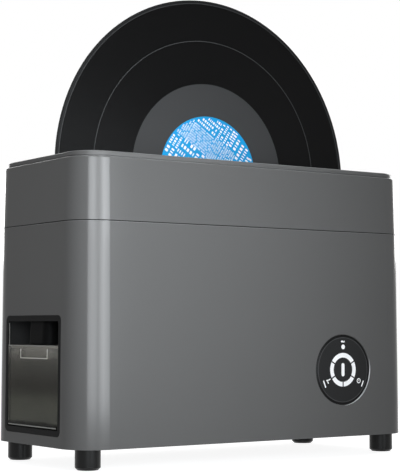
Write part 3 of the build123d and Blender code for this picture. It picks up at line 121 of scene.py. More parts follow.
def noise(tree, vector, scale, detail=2.0, roughness=0.5):
    """Noise factor at a scale given per metre."""
    node = tree.nodes.new("ShaderNodeTexNoise")
    node.inputs["Scale"].default_value = scale
    node.inputs["Detail"].default_value = detail
    node.inputs["Roughness"].default_value = roughness
    tree.links.new(vector, node.inputs["Vector"])
    return node.outputs["Fac"]


def remap(tree, value, low, high, start=0.0, end=1.0):
    """Value between start and end, spread over the range from low to high and held there outside it."""
    node = tree.nodes.new("ShaderNodeMapRange")
    node.inputs["From Min"].default_value = start
    node.inputs["From Max"].default_value = end
    node.inputs["To Min"].default_value = low
    node.inputs["To Max"].default_value = high
    tree.links.new(value, node.inputs["Value"])
    return node.outputs["Result"]


def share_along(tree, axis, start, end):
    """How far a point is from start to end along an axis, as a share between 0 and 1."""
    axes = tree.nodes.new("ShaderNodeSeparateXYZ")
    tree.links.new(place_coordinates(tree), axes.inputs[0])
    return remap(tree, axes.outputs[axis], 0.0, 1.0, start, end)


def calculate(tree, operation, *values):
    """Result of a math node on numbers and other nodes' outputs."""
    node = tree.nodes.new("ShaderNodeMath")
    node.operation = operation
    for socket, value in zip(node.inputs, values):
        if isinstance(value, bpy.types.NodeSocket):
            tree.links.new(value, socket)
        else:
            socket.default_value = value
    return node.outputs[0]


def vector_math(tree, operation, vector, other=None):
    """Vector math node on an output and, where one is given, a fixed vector."""
    node = tree.nodes.new("ShaderNodeVectorMath")
    node.operation = operation
    tree.links.new(vector, node.inputs[0])
    if other is not None:
        node.inputs[1].default_value = other
    return node


def radius_about(tree, centre):
    """Distance of a point from the line along Y through a centre."""
    offset = vector_math(tree, "SUBTRACT", place_coordinates(tree), centre)
    flat = vector_math(tree, "MULTIPLY", offset.outputs[0], (1.0, 0.0, 1.0))
    return vector_math(tree, "LENGTH", flat.outputs[0]).outputs["Value"]


def blend_colours(tree, factor, first, second):
    """Colour between two, by a factor."""
    node = tree.nodes.new("ShaderNodeMix")
    node.data_type = "RGBA"
    node.inputs[6].default_value = rgba(first)
    node.inputs[7].default_value = rgba(second)
    tree.links.new(factor, node.inputs[0])
    return node.outputs[2]


def colour_ramp(tree, factor, stops, interpolation="LINEAR"):
    """Colour picked by a factor; each stop is a share of the way and its colour."""
    node = tree.nodes.new("ShaderNodeValToRGB")
    ramp = node.color_ramp
    ramp.interpolation = interpolation
    while len(ramp.elements) < len(stops):
        ramp.elements.new(0.5)
    for element, (share, colour) in zip(ramp.elements, stops):
        element.position = share
        element.color = rgba(colour)
    tree.links.new(factor, node.inputs["Fac"])
    return node.outputs["Color"]


def rings_of(tree, radius, reach, zones):
    """Colour by radius, up to a reach: each zone is the radius where it starts and its grey level."""
    stops = [(start / reach, grey(level)) for start, level in zones]
    return colour_ramp(tree, calculate(tree, "DIVIDE", radius, reach), stops, "CONSTANT")


def uneven_roughness(tree, shader, scale, low, high):
    """Roughness that wanders between two values."""
    smear = noise(tree, place_coordinates(tree), scale, detail=3.0, roughness=0.6)
    tree.links.new(remap(tree, smear, low, high), shader.inputs["Roughness"])


def bump(tree, shader, height, strength, distance):
    """Bump from a height, on the shader."""
    node = tree.nodes.new("ShaderNodeBump")
    node.inputs["Strength"].default_value = strength
    node.inputs["Distance"].default_value = distance
    tree.links.new(height, node.inputs["Height"])
    tree.links.new(node.outputs["Normal"], shader.inputs["Normal"])


# ------------------------------------------------------------------ places taken from the frame
centre_of_record = Vector(joints["record_spin"]["pos_m"])
label_low, label_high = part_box("record_labels")
label_radius = (label_high.x - label_low.x) / 2.0
ring_low, ring_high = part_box("light_ring")
panel_centre = (ring_low + ring_high) / 2.0
press_axis = Vector(joints["start_button_press"]["axis"]).normalized()
tank_low, tank_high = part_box("water_tank")
basket_low, basket_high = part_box("filter_basket")
bay_low, bay_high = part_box("tank_bay")
upper_low, upper_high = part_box("upper_housing")
upper_half = (upper_high - upper_low) / 2.0


# ------------------------------------------------------------------ materials
HOUSING_DARK = (0.0910, 0.0895, 0.0875)
HOUSING_LIGHT = (0.1205, 0.1188, 0.1163)
HOUSING_SATIN = (0.13, 0.16)    # range of roughness of the housing's coat
PLATE_SATIN = (0.36, 0.42)      # and of the raised plate's
FLAKE_SHARE = 0.35              # how far the flake moves the housing's colour from dark to light
LEAD_OUT_RADIUS = 0.078         # where the record's grooves start, round the smooth lead-out
LEAD_OUT_BLEND = 0.0003
TRACK_GAP_RADIUS = 0.1146
TRACK_GAP_WIDTH = 0.0006
RIM_RADIUS = 0.1474
VINYL_REACH = RIM_RADIUS + 0.01
GROOVE_PITCH = 0.0009           # of the shaded ripple, which stands for many real grooves
BUTTON_REACH = 0.0103           # radii on the panel's face
FASCIA_LINE = 0.0270
FASCIA_LINE_WIDTH = 0.0004
FASCIA_REACH = 0.034
LIGHT_STRENGTH = 0.34           # glow of the light ring and the printed marks
BAY_LIP = 0.0026                # depth of the bezel in front of the bay's mouth
BAY_PAINTED_LIGHT_ZONES = (                   # share of the bay's depth, with its grey level there: painted shade near the mouth, painted light towards the back wall
    (0.0, 0.0092), (0.006, 0.019), (0.75, 0.06), (1.0, 0.16),
)
SMEAR_SCALE = 2.3               # smears in the gloss are this much finer than the patches of colour
TANK_CLOUD = 0.10               # how far the noise moves the tank's tints, as a share of its height
TANK_PAINTED_LIGHT_TINTS = (                  # share of the tank's height, with its tint there: the dark bands are painted shade and the pale top is painted light
    (0.0, (0.10, 0.10, 0.085)), (0.10, (0.12, 0.12, 0.10)), (0.13, (0.48, 0.48, 0.42)),
    (0.32, (0.46, 0.46, 0.40)), (0.55, (0.25, 0.24, 0.205)), (0.85, (0.46, 0.45, 0.41)),
    (1.0, (0.80, 0.78, 0.73)),
)


def textured(name, colour, variation, roughness, metallic=0.0, specular=0.5, patch_scale=18.0,
             grain_scale=2500.0, grain=0.15, grain_depth=0.00004):
    """Material with soft colour patches, uneven roughness and a fine grain."""
    material, tree, shader = new_material(name)
    where = place_coordinates(tree)
    patches = noise(tree, where, patch_scale, detail=4.0, roughness=0.55)
    darker = [channel * (1.0 - variation) for channel in colour]
    lighter = [min(channel * (1.0 + variation), 1.0) for channel in colour]
    tree.links.new(blend_colours(tree, patches, darker, lighter), shader.inputs["Base Color"])
    uneven_roughness(tree, shader, patch_scale * SMEAR_SCALE, *roughness)
    shader.inputs["Metallic"].default_value = metallic
    shader.inputs["Specular IOR Level"].default_value = specular
    bump(tree, shader, noise(tree, where, grain_scale, roughness=0.6), grain, grain_depth)
    return material


def make_housing_grey(name, roughness):
    """Satin metallic grey of the housing: fine flake over a coat of this range of roughness."""
    material, tree, shader = new_material(name)
    where = place_coordinates(tree)
    patches = remap(tree, noise(tree, where, 9.0, detail=3.0), 0.2, 0.45)
    flake = noise(tree, where, 5200.0, detail=1.0)
    mixed = calculate(tree, "MULTIPLY_ADD", flake, FLAKE_SHARE, patches)
    tree.links.new(blend_colours(tree, mixed, HOUSING_DARK, HOUSING_LIGHT), shader.inputs["Base Color"])
    uneven_roughness(tree, shader, 30.0, *roughness)
    shader.inputs["Metallic"].default_value = 0.2
    shader.inputs["Specular IOR Level"].default_value = 0.03
    bump(tree, shader, flake, strength=0.08, distance=0.00002)
    return material


def make_smoked():
    """Smoked clear plastic of the water tank, faintly cloudy, with bands of painted shade and painted light in its
    tint, set by height.
    """
    material, tree, shader = new_material("smoked_plastic")
    where = place_coordinates(tree)
    height = share_along(tree, "Z", tank_low.z, tank_high.z)
    cloudy = calculate(tree, "MULTIPLY_ADD", noise(tree, where, 26.0), TANK_CLOUD, height)
    # tint by height: painted shade in the dark bands, painted light towards the top
    tree.links.new(colour_ramp(tree, cloudy, TANK_PAINTED_LIGHT_TINTS), shader.inputs["Base Color"])
    uneven_roughness(tree, shader, 60.0, 0.05, 0.10)
    shader.inputs["Transmission Weight"].default_value = 0.90
    shader.inputs["IOR"].default_value = 1.09
    shader.inputs["Specular IOR Level"].default_value = 0.3
    bump(tree, shader, noise(tree, where, 900.0), strength=0.05, distance=0.00003)
    return material


def make_bay_black_painted_light():
    """Moulded black of the tank's bay, with painted shade darkest on the bezel in front of its mouth and painted
    light growing towards the back wall.
    """
    material, tree, shader = new_material("bay_black_painted_light")
    depth = share_along(tree, "X", bay_low.x + BAY_LIP, bay_high.x)
    stops = [(share, grey(level)) for share, level in BAY_PAINTED_LIGHT_ZONES]
    # grey by depth: painted shade at the mouth, painted light deeper in
    tree.links.new(colour_ramp(tree, depth, stops), shader.inputs["Base Color"])
    uneven_roughness(tree, shader, 40.0, 0.42, 0.52)
    shader.inputs["Specular IOR Level"].default_value = 0.03
    grain = noise(tree, place_coordinates(tree), 2500.0, roughness=0.6)
    bump(tree, shader, grain, strength=0.15, distance=0.00004)
    return material


def make_vinyl():
    """Black vinyl: concentric grooves, a smooth lead-out, a gap between tracks and a raised rim; the lighter
    lead-out and track gap are a painted sheen, and the pale ring at the rim is a painted highlight.
    """
    material, tree, shader = new_material("vinyl")
    radius = radius_about(tree, centre_of_record)
    # grey by radius: lighter lead-out and track gap are painted sheen, the pale ring at the rim a painted
    # highlight
    zones = rings_of(tree, radius, VINYL_REACH, (
        (0.0, 0.048), (LEAD_OUT_RADIUS, 0.0035), (TRACK_GAP_RADIUS, 0.055),
        (TRACK_GAP_RADIUS + TRACK_GAP_WIDTH, 0.0035), (RIM_RADIUS, 0.050),
        (RIM_RADIUS + TRACK_GAP_WIDTH, 0.016),
    ))
    tree.links.new(zones, shader.inputs["Base Color"])
    grooved = remap(tree, radius, 0.0, 1.0,
                    start=LEAD_OUT_RADIUS - LEAD_OUT_BLEND, end=LEAD_OUT_RADIUS + LEAD_OUT_BLEND)
    tree.links.new(remap(tree, grooved, 0.20, 0.34), shader.inputs["Roughness"])
    shader.inputs["Specular IOR Level"].default_value = 0.045
    wave = calculate(tree, "SINE", calculate(tree, "MULTIPLY", radius, 2.0 * math.pi / GROOVE_PITCH))
    inside_rim = calculate(tree, "LESS_THAN", radius, RIM_RADIUS)
    ripple = calculate(tree, "MULTIPLY", wave, calculate(tree, "MULTIPLY", grooved, inside_rim))
    bump(tree, shader, ripple, strength=0.5, distance=0.00006)
    return material


def make_fascia():
    """Black of the panel, darker on the button and on the bevel, with a fine line between."""
    material, tree, shader = new_material("fascia_black")
    zones = rings_of(tree, radius_about(tree, panel_centre), FASCIA_REACH, (
        (0.0, 0.024), (BUTTON_REACH, 0.020), (FASCIA_LINE, 0.080),
        (FASCIA_LINE + FASCIA_LINE_WIDTH, 0.006),
    ))
    tree.links.new(zones, shader.inputs["Base Color"])
    uneven_roughness(tree, shader, 50.0, 0.28, 0.34)
    shader.inputs["Specular IOR Level"].default_value = 0.07
    grain = noise(tree, place_coordinates(tree), 4000.0, roughness=0.6)
    bump(tree, shader, grain, strength=0.05, distance=0.00004)
    return material


def make_glowing():
    """Milky white that is lit from behind, for the light ring, the button's bar and the marks."""
    material, tree, shader = new_material("light_white")
    patches = noise(tree, place_coordinates(tree), 300.0)
    tree.links.new(blend_colours(tree, patches, (0.58, 0.585, 0.59), (0.64, 0.64, 0.64)),
                   shader.inputs["Base Color"])
    tree.links.new(remap(tree, patches, 0.32, 0.42), shader.inputs["Roughness"])
    shader.inputs["Specular IOR Level"].default_value = 0.2
    shader.inputs["Emission Color"].default_value = (1.0, 1.0, 1.0, 1.0)
    shader.inputs["Emission Strength"].default_value = LIGHT_STRENGTH
    return material


def make_foam():
    """Open-cell filter foam."""
    material, tree, shader = new_material("filter_foam")
    cells = tree.nodes.new("ShaderNodeTexVoronoi")
    cells.inputs["Scale"].default_value = 700.0
    tree.links.new(place_coordinates(tree), cells.inputs["Vector"])
    tree.links.new(blend_colours(tree, cells.outputs["Distance"], grey(0.02), grey(0.16)),
                   shader.inputs["Base Color"])
    shader.inputs["Roughness"].default_value = 0.95
    bump(tree, shader, cells.outputs["Distance"], strength=0.8, distance=0.0004)
    return material


def make_board():
    """Green circuit board with a faint pattern of tracks."""
    material, tree, shader = new_material("circuit_board")
    where = place_coordinates(tree)
    bricks = tree.nodes.new("ShaderNodeTexBrick")
    bricks.inputs["Scale"].default_value = 90.0
    bricks.inputs["Color1"].default_value = (0.012, 0.10, 0.035, 1.0)
    bricks.inputs["Color2"].default_value = (0.016, 0.13, 0.045, 1.0)
    bricks.inputs["Mortar"].default_value = (0.03, 0.20, 0.07, 1.0)
    bricks.inputs["Mortar Size"].default_value = 0.03
    tree.links.new(where, bricks.inputs["Vector"])
    tree.links.new(bricks.outputs["Color"], shader.inputs["Base Color"])
    tree.links.new(remap(tree, noise(tree, where, 80.0), 0.3, 0.45), shader.inputs["Roughness"])
    bump(tree, shader, bricks.outputs["Fac"], strength=0.2, distance=0.00004)
    return material


FINISHES = {                    # colour, how far it varies, range of roughness, and what differs
    "black_plastic": ((0.009, 0.0085, 0.008), 0.15, (0.40, 0.52), {"specular": 0.03}),
    "spout_black": (grey(0.005), 0.15, (0.45, 0.55), {"specular": 0.02}),
    "component_black": ((0.02, 0.02, 0.021), 0.2, (0.45, 0.6), {}),
    "dark_plastic": ((0.030, 0.029, 0.027), 0.12, (0.3, 0.4), {}),
    "basin_plastic": ((0.36, 0.37, 0.38), 0.06, (0.35, 0.45), {}),
    "white_plastic": ((0.72, 0.72, 0.70), 0.04, (0.35, 0.45), {}),
    "ceramic": ((0.70, 0.67, 0.56), 0.06, (0.4, 0.55), {}),
    "foot_rubber": (grey(0.006), 0.15, (0.20, 0.27), {"specular": 0.15, "patch_scale": 60.0}),
    "roller_rubber": (grey(0.03), 0.2, (0.6, 0.75), {"patch_scale": 200.0}),
    # near-black of the seam's painted shadow strip
    "seam_shadow_black": (grey(0.008), 0.15, (0.6, 0.7), {"specular": 0.05}),
    "silicone": ((0.42, 0.42, 0.40), 0.08, (0.45, 0.6), {}),
    "steel": ((0.48, 0.48, 0.49), 0.1, (0.22, 0.38), {"metallic": 1.0, "patch_scale": 160.0}),
    "brass": ((0.62, 0.44, 0.17), 0.1, (0.25, 0.38), {"metallic": 1.0, "patch_scale": 160.0}),
    "aluminium": ((0.62, 0.62, 0.64), 0.08, (0.3, 0.42), {"metallic": 1.0, "patch_scale": 160.0}),
    # pale grey of the painted highlight on the panel hole's edge
    "painted_highlight_edge": (grey(0.46), 0.05, (0.30, 0.38), {"specular": 0.4}),
    # grey of the painted highlight lines on the housing's edges
    "edge_painted_highlight": (grey(0.19), 0.05, (0.22, 0.30), {"specular": 0.3}),
    # pale grey of the painted highlights on the tank's edges and the bezel's
    "tank_edge_highlight": ((0.21, 0.21, 0.19), 0.10, (0.25, 0.35), {"specular": 0.3}),
    # white of the label's print, and of the painted highlights round the filter basket
    "print_and_highlight_white": (grey(0.80), 0.03, (0.4, 0.5), {"patch_scale": 400.0}),
    "label_paper": ((0.008, 0.277, 0.585), 0.05, (0.42, 0.55), {
        "specular": 0.1, "patch_scale": 60.0, "grain_scale": 1800.0, "grain": 0.2, "grain_depth": 0.00003}),
}
materials = {
    name: textured(name, colour, variation, roughness, **extras)
    for name, (colour, variation, roughness, extras) in FINISHES.items()
}
materials.update({
    "housing_grey": make_housing_grey("housing_grey", HOUSING_SATIN),
    "plate_grey": make_housing_grey("plate_grey", PLATE_SATIN),
    "smoked_plastic": make_smoked(),
    "bay_black_painted_light": make_bay_black_painted_light(),
    "vinyl": make_vinyl(),
    "fascia_black": make_fascia(),
    "light_white": make_glowing(),
    "filter_foam": make_foam(),
    "circuit_board": make_board(),
})

for row in frame["record"]["subparts"]:
    mesh = nodes[row["node"]].data
    mesh.materials.clear()
    mesh.materials.append(materials[row["material_slot"]])
nodes["tank_bay"].data.materials[0] = materials["bay_black_painted_light"]
nodes["drain_spout"].data.materials[0] = materials["spout_black"]
nodes["top_plate"].data.materials[0] = materials["plate_grey"]


# ------------------------------------------------------------------ mesh helpers
def mesh_object(name, build, material, body, smooth_angle=None):
    """Object from a bmesh that build() fills, riding on a body."""
    work = bmesh.new()
    build(work)
    bmesh.ops.recalc_face_normals(work, faces=work.faces)
    mesh = bpy.data.meshes.new(name)
    work.to_mesh(mesh)
    work.free()
    mesh.materials.append(materials[material])
    piece = bpy.data.objects.new(name, mesh)
    bpy.context.scene.collection.objects.link(piece)
    if smooth_angle is not None:
        mesh.shade_smooth()
        mesh.set_sharp_from_angle(angle=math.radians(smooth_angle))
    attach(piece, body)


def wall_between(work, first, second):
    """Faces between two closed rows of vertices, which have as many each."""
    for index in range(len(first)):
        after = (index + 1) % len(first)
        work.faces.new((first[index], first[after], second[after], second[index]))


def slab(work, outline, to_world, depth):
    """Solid plate from a flat outline; to_world maps (x, y, depth) to a place."""
    top = [work.verts.new(to_world(x, y, 0.0)) for x, y in outline]
    bottom = [work.verts.new(to_world(x, y, -depth)) for x, y in outline]
    work.faces.new(top)
    work.faces.new(list(reversed(bottom)))
    wall_between(work, bottom, top)


PRINT_DEPTH = 0.00006           # thickness of printed marks
PRINT_GAP = 0.00002             # under a printed mark
DISC_STEPS = 28
BAR_TURN = 30                   # degrees from point to point round a bar's ends
RING_STEPS = 20                 # in each half of a ring


def arc_band(inner, outer, start, end, steps):
    """Outline of a curved band between two angles in degrees."""
    angles = [math.radians(start + (end - start) * step / steps) for step in range(steps + 1)]
    outside = [(outer * math.cos(a), outer * math.sin(a)) for a in angles]
    inside = [(inner * math.cos(a), inner * math.sin(a)) for a in reversed(angles)]
    return outside + inside


def disc(x, y, radius):
    """Outline of a small disc."""
    angles = [2.0 * math.pi * step / DISC_STEPS for step in range(DISC_STEPS)]
    return [(x + radius * math.cos(a), y + radius * math.sin(a)) for a in angles]


def bar(x, y, length, width, degrees):
    """Outline of a bar with round ends, turned by an angle."""
    turn = math.radians(degrees)
    half = (length - width) / 2.0
    points = []
    for side, start in ((1, -90), (-1, 90)):
        for step in range(180 // BAR_TURN + 1):
            a = math.radians(start + BAR_TURN * step)
            local = (side * half + width / 2 * math.cos(a), width / 2 * math.sin(a))
            points.append((
                x + local[0] * math.cos(turn) - local[1] * math.sin(turn),
                y + local[0] * math.sin(turn) + local[1] * math.cos(turn),
            ))
    return points


def ring(x, y, outer, inner):
    """Outlines of a thin ring, as two half bands so that each is a simple outline."""
    halves = [arc_band(inner, outer, start, start + 180.0, RING_STEPS) for start in (0.0, 180.0)]
    return [[(x + px, y + py) for px, py in band] for band in halves]


# ------------------------------------------------------------------ print on the panel
# Places and sizes of the marks are millimetres right of and above the panel's middle.
STATUS_DOT = (0.35, 19.4, 2.0)  # right, up, radius
STATUS_TICK = (                 # bars: right, up, length, width, degrees
    (-0.7, 24.0, 2.6, 1.5, 0), (1.3, 23.75, 1.9, 1.1, 55),
)
FAN_PLACE = (19.0, 208.5)       # radius and direction from the panel's middle
FAN_BLADES = (                  # bars, from the fan's place
    (1.5, 1.0, 2.6, 1.0, 25), (-0.9, 0.3, 2.4, 1.1, 8), (-0.1, -1.4, 2.4, 1.0, 120),
)
FAN_CAPTION_PLACE = (23.6, 209.5)
FAN_CAPTION = (0.0, -0.2, 6.6, 1.2, -67)
CLOCK_PLACE = (20.0, 331.0)
CLOCK_OUTER = 2.1
CLOCK_LINE = 0.65
CLOCK_HANDS = ((0.0, 0.45, 1.3, 0.4, 90), (0.35, 0.0, 0.9, 0.4, 0))
CLOCK_CAPTION_PLACE = (24.7, 331.0)
CLOCK_CAPTION = (0.1, -0.2, 5.6, 1.1, 66)


def fascia_face_point():
    """Point on the fascia's outer face, which is level with the light ring's."""
    return min((v.co for v in nodes["light_ring"].data.vertices), key=lambda co: co.dot(press_axis)).copy()


def panel_map(lift):
    """Maps panel millimetres (right, up) and a depth in metres to a place on the fascia's face."""
    up = Vector((0, 0, 1)) - press_axis * press_axis.z
    up.normalize()
    right = Vector((1, 0, 0))
    face = panel_centre - press_axis * ((panel_centre - fascia_face_point()).dot(press_axis))

    def to_world(x, y, depth):
        return face + right * x * MM + up * y * MM - press_axis * (lift + depth)
    return to_world


def panel_print(name, outlines):
    """White marks printed on the fascia."""
    to_world = panel_map(PRINT_DEPTH + PRINT_GAP)

    def build(work):
        for outline in outlines:
            slab(work, outline, to_world, PRINT_DEPTH)
    mesh_object(name, build, "light_white", "machine")


def polar(radius, degrees):
    """Panel place from a radius and a direction."""
    return radius * math.cos(math.radians(degrees)), radius * math.sin(math.radians(degrees))


def bars_at(place, bars):
    """Outlines of bars that are placed from a point of the panel."""
    return [bar(place[0] + x, place[1] + y, length, width, degrees) for x, y, length, width, degrees in bars]


def make_panel_print():
    """Status dot with its tick, a fan mark and a clock mark, each with a plain bar beside it."""
    clock = polar(*CLOCK_PLACE)
    panel_print("status_dot", [disc(*STATUS_DOT)])
    panel_print("status_tick", bars_at((0.0, 0.0), STATUS_TICK))
    panel_print("fan_mark", bars_at(polar(*FAN_PLACE), FAN_BLADES))
    panel_print("fan_caption", bars_at(polar(*FAN_CAPTION_PLACE), [FAN_CAPTION]))
    face = ring(*clock, CLOCK_OUTER, CLOCK_OUTER - CLOCK_LINE)
    panel_print("clock_mark", face + bars_at(clock, CLOCK_HANDS))
    panel_print("clock_caption", bars_at(polar(*CLOCK_CAPTION_PLACE), [CLOCK_CAPTION]))


make_panel_print()


# ------------------------------------------------------------------ trim
# The panel's hole and its painted highlight rim are in millimetres, like the panel's print.
HOLE_RADIUS = 29.8              # of the panel's hole, at the foot of its chamfered edge
HOLE_CHAMFER = 0.6
PANEL_RECESS = 0.5              # panel face behind the housing's skin
RIM_THICKNESS = 0.05
RIM_GAP = 0.02                  # between the bright rim's edge and the chamfer's
RIM_SPAN = (-88.0, 18.0)        # degrees round the panel that the painted highlight covers
RIM_SWELL = 1.4                 # how soon the rim widens from its ends to its full width
RIM_STEPS = 60
SMOOTH_ANGLE = 40               # degrees up to which the trim is shaded smooth
CORNER_STEPS = 24
SEAM_DEPTH = 0.00045            # seam strip behind the skin
SEAM_STRIP_HEIGHT = 0.00066
SEAM_STRIP_WIDTH = 0.0008
SEAM_CLEARANCE = 0.00007        # over the strip, under the upper housing
SEAM_GAP = 0.0008               # between the two housings
HOUSING_CORNER = 0.027          # radius of the housing's upright corners
LOWER_TAPER = math.radians(0.36)
UPPER_TAPER = math.radians(1.2)
SHOULDER_FILLET = 0.0011        # rounded top edge of the upper housing
PLATE_FILLET = 0.0008           # rounded top edge of the raised plate
EDGE_ANGLE = 40.0               # up the fillets, where their bright lines lie
EDGE_WIDTH = 0.00036
EDGE_RISE = 0.00005             # how far the bright lines stand out
SEAM_EDGE_WIDTH = 0.0002


def make_panel_rim_highlight():
    """Painted highlight: a pale crescent on the 45 degree edge of the panel's hole; it is widest half way along.
    """
    to_world = panel_map(0.0)
    inner = HOLE_RADIUS + RIM_GAP
    outer = HOLE_RADIUS + HOLE_CHAMFER - RIM_GAP
    outer_depth = PANEL_RECESS - HOLE_CHAMFER + RIM_GAP + outer - inner

    def highlight_crescent(work):
        rings = []
        for step in range(RIM_STEPS + 1):
            share = step / RIM_STEPS
            angle = math.radians(RIM_SPAN[0] + (RIM_SPAN[1] - RIM_SPAN[0]) * share)
            width = (outer - inner) * min(1.0, RIM_SWELL * math.sin(math.pi * share)) + RIM_THICKNESS
            points = (
                (outer, outer_depth), (outer - width, outer_depth - width),
                (outer - width - RIM_THICKNESS, outer_depth - width), (outer - RIM_THICKNESS, outer_depth),
            )
            rings.append([
                work.verts.new(to_world(radius * math.cos(angle), radius * math.sin(angle), depth * MM))
                for radius, depth in points
            ])
        for here, there in zip(rings, rings[1:]):
            wall_between(work, here, there)
        work.faces.new(rings[0])
        work.faces.new(list(reversed(rings[-1])))
    mesh_object("panel_rim_painted_highlight", highlight_crescent, "painted_highlight_edge", "machine", SMOOTH_ANGLE)


def rounded_rectangle(half_x, half_y, radius):
    """Outline of a rectangle with round corners."""
    points = []
    for quarter, (sx, sy) in enumerate(((1, 1), (-1, 1), (-1, -1), (1, -1))):
        for step in range(CORNER_STEPS + 1):
            a = math.radians(90.0 * (quarter + step / CORNER_STEPS))
            points.append((
                sx * (half_x - radius) + radius * math.cos(a),
                sy * (half_y - radius) + radius * math.sin(a),
            ))
    return points


def loop_round_housing(work, half_x, half_y, profile):
    """Closed ring round the housing, from a profile of insets and heights at a rounded rectangle's edge."""
    rows = []
    for inset, height in profile:
        corner = HOUSING_CORNER - (cad_box[1].x - half_x) - inset
        outline = rounded_rectangle(half_x - inset, half_y - inset, corner)
        rows.append([work.verts.new((x, y, height)) for x, y in outline])
    for side in range(len(rows)):
        wall_between(work, rows[side], rows[(side + 1) % len(rows)])


def make_seam_shade_strip():
    """Dark strip in the seam between the housings, a painted shadow line."""
    top_z = upper_low.z - SEAM_CLEARANCE
    low_z = top_z - SEAM_STRIP_HEIGHT
    profile = (
        (SEAM_DEPTH, low_z), (SEAM_DEPTH, top_z),
        (SEAM_DEPTH + SEAM_STRIP_WIDTH, top_z), (SEAM_DEPTH + SEAM_STRIP_WIDTH, low_z),
    )
    mesh_object("seam_painted_shadow_strip", lambda work: loop_round_housing(work, upper_half.x, upper_half.y, profile),
                "seam_shadow_black", "machine", SMOOTH_ANGLE)


def fillet_line(face_z, fillet):
    """Profile of a thin line laid on a rounded top edge."""
    middle = math.radians(EDGE_ANGLE)
    reach = EDGE_WIDTH / fillet / 2.0
    points = []
    for angle, rise in ((middle - reach, 0.0), (middle - reach, EDGE_RISE), (middle + reach, EDGE_RISE),
                        (middle + reach, 0.0)):
        points.append((fillet - (fillet + rise) * math.cos(angle),
                       face_z - fillet + (fillet + rise) * math.sin(angle)))
    return points


def make_edge_highlight_lines():
    """Painted highlights: bright lines along the edges of the shoulder, of the raised plate and under the seam."""
    plate_low, plate_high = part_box("top_plate")
    lower_low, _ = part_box("lower_housing")
    shoulder_inset = (upper_high.z - upper_low.z) * math.tan(UPPER_TAPER)
    plate_half = (plate_high - plate_low) / 2.0
    plate_inset = (plate_high.z - upper_high.z) * math.tan(UPPER_TAPER)
    seam_z = upper_low.z - SEAM_GAP
    seam_inset = (seam_z - lower_low.z) * math.tan(LOWER_TAPER)
    lines = {
        "shoulder_highlight_line": (upper_half.x - shoulder_inset, upper_half.y - shoulder_inset,
                               fillet_line(upper_high.z, SHOULDER_FILLET)),
        "plate_highlight_line": (plate_half.x - plate_inset, plate_half.y - plate_inset,
                            fillet_line(plate_high.z, PLATE_FILLET)),
        "seam_highlight_line": (cad_box[1].x - seam_inset, cad_box[1].y - seam_inset, (
            (-EDGE_RISE, seam_z - SEAM_EDGE_WIDTH), (-EDGE_RISE, seam_z + EDGE_RISE),
            (SEAM_EDGE_WIDTH, seam_z + EDGE_RISE), (SEAM_EDGE_WIDTH, seam_z - SEAM_EDGE_WIDTH),
        )),
    }
    for name, (half_x, half_y, profile) in lines.items():
        mesh_object(name, lambda work: loop_round_housing(work, half_x, half_y, profile),
                    "edge_painted_highlight", "machine", SMOOTH_ANGLE)


def block(work, low, high):
    """Box between two corners, with every edge a real one."""
    corners = [
        work.verts.new((x, y, z))
        for x in (low[0], high[0]) for y in (low[1], high[1]) for z in (low[2], high[2])
    ]
    for face in ((0, 1, 3, 2), (4, 6, 7, 5), (0, 4, 5, 1), (2, 3, 7, 6), (0, 2, 6, 4), (1, 5, 7, 3)):
        work.faces.new([corners[index] for index in face])


LINE_LIFT = 0.00004             # from the face that a light line lies on to the line's front
LINE_GAP = 0.00001              # and to its back
TANK_LINE = 0.0009              # height of the light line along the tank's foot
TANK_TOP_LINE = 0.00072         # and from the tank's top down to the foot of the upper one
TANK_LINE_RISE = 0.0009         # lower line above the tank's foot
TANK_LINE_INSET = 0.0016        # ends of the lines, from the tank's sides
TANK_TOP_GAP = 0.00005          # over the upper line
BASKET_LINE = 0.00055           # width of the lines round the filter basket
BASKET_LINE_LIFT = 0.0003       # their front, off the basket
BASKET_LINE_DEPTH = 0.0002
BASKET_TOP_GAP = 0.003          # the upright ones stop short of the basket's top
TANK_SIDE_GAP = 0.0003          # between the tank and the bezel
LIP_LINE_DEPTH = 0.0012         # bezel line behind the bezel's front
LIP_LINE_WIDTH = 0.0006
MOUTH_ABOVE_TANK = 0.0225       # height of the bay's mouth over the tank's top


def make_tank_highlight_lines():
    """Painted highlights along the edges of the tank and round the filter basket behind its front."""
    front_x = tank_low.x - LINE_LIFT
    back_x = tank_low.x - LINE_GAP
    side_low, side_high = tank_low.y + TANK_LINE_INSET, tank_high.y - TANK_LINE_INSET
    foot_z = tank_low.z + TANK_LINE_RISE

    def edges(work):
        block(work, (front_x, side_low, foot_z), (back_x, side_high, foot_z + TANK_LINE))
        block(work, (front_x, side_low, tank_high.z - TANK_TOP_LINE),
              (back_x, side_high, tank_high.z - TANK_TOP_GAP))
    mesh_object("tank_highlight_lines", edges, "tank_edge_highlight", "tank")

    def basket(work):
        near = basket_low.x - BASKET_LINE_LIFT
        far = near + BASKET_LINE_DEPTH
        line_z = basket_low.z + BASKET_LINE
        block(work, (near, basket_low.y, basket_low.z), (far, basket_high.y, line_z))
        for y in (basket_low.y, basket_high.y - BASKET_LINE):
            block(work, (near, y, line_z), (far, y + BASKET_LINE, basket_high.z - BASKET_TOP_GAP))
    mesh_object("basket_highlight_lines", basket, "print_and_highlight_white", "tank")


def make_bezel_highlight_line():
    """Painted highlight on the edge of the bezel's return, on the far side of the tank's mouth."""
    wall_y = tank_high.y + TANK_SIDE_GAP
    low = (bay_low.x + LIP_LINE_DEPTH, wall_y - LINE_LIFT, tank_low.z)
    high = (low[0] + LIP_LINE_WIDTH, wall_y - LINE_GAP, tank_high.z + MOUTH_ABOVE_TANK)
    mesh_object("bezel_highlight_line", lambda work: block(work, low, high),
                "tank_edge_highlight", "machine")


make_panel_rim_highlight()
make_seam_shade_strip()
make_bezel_highlight_line()
make_edge_highlight_lines()
make_tank_highlight_lines()


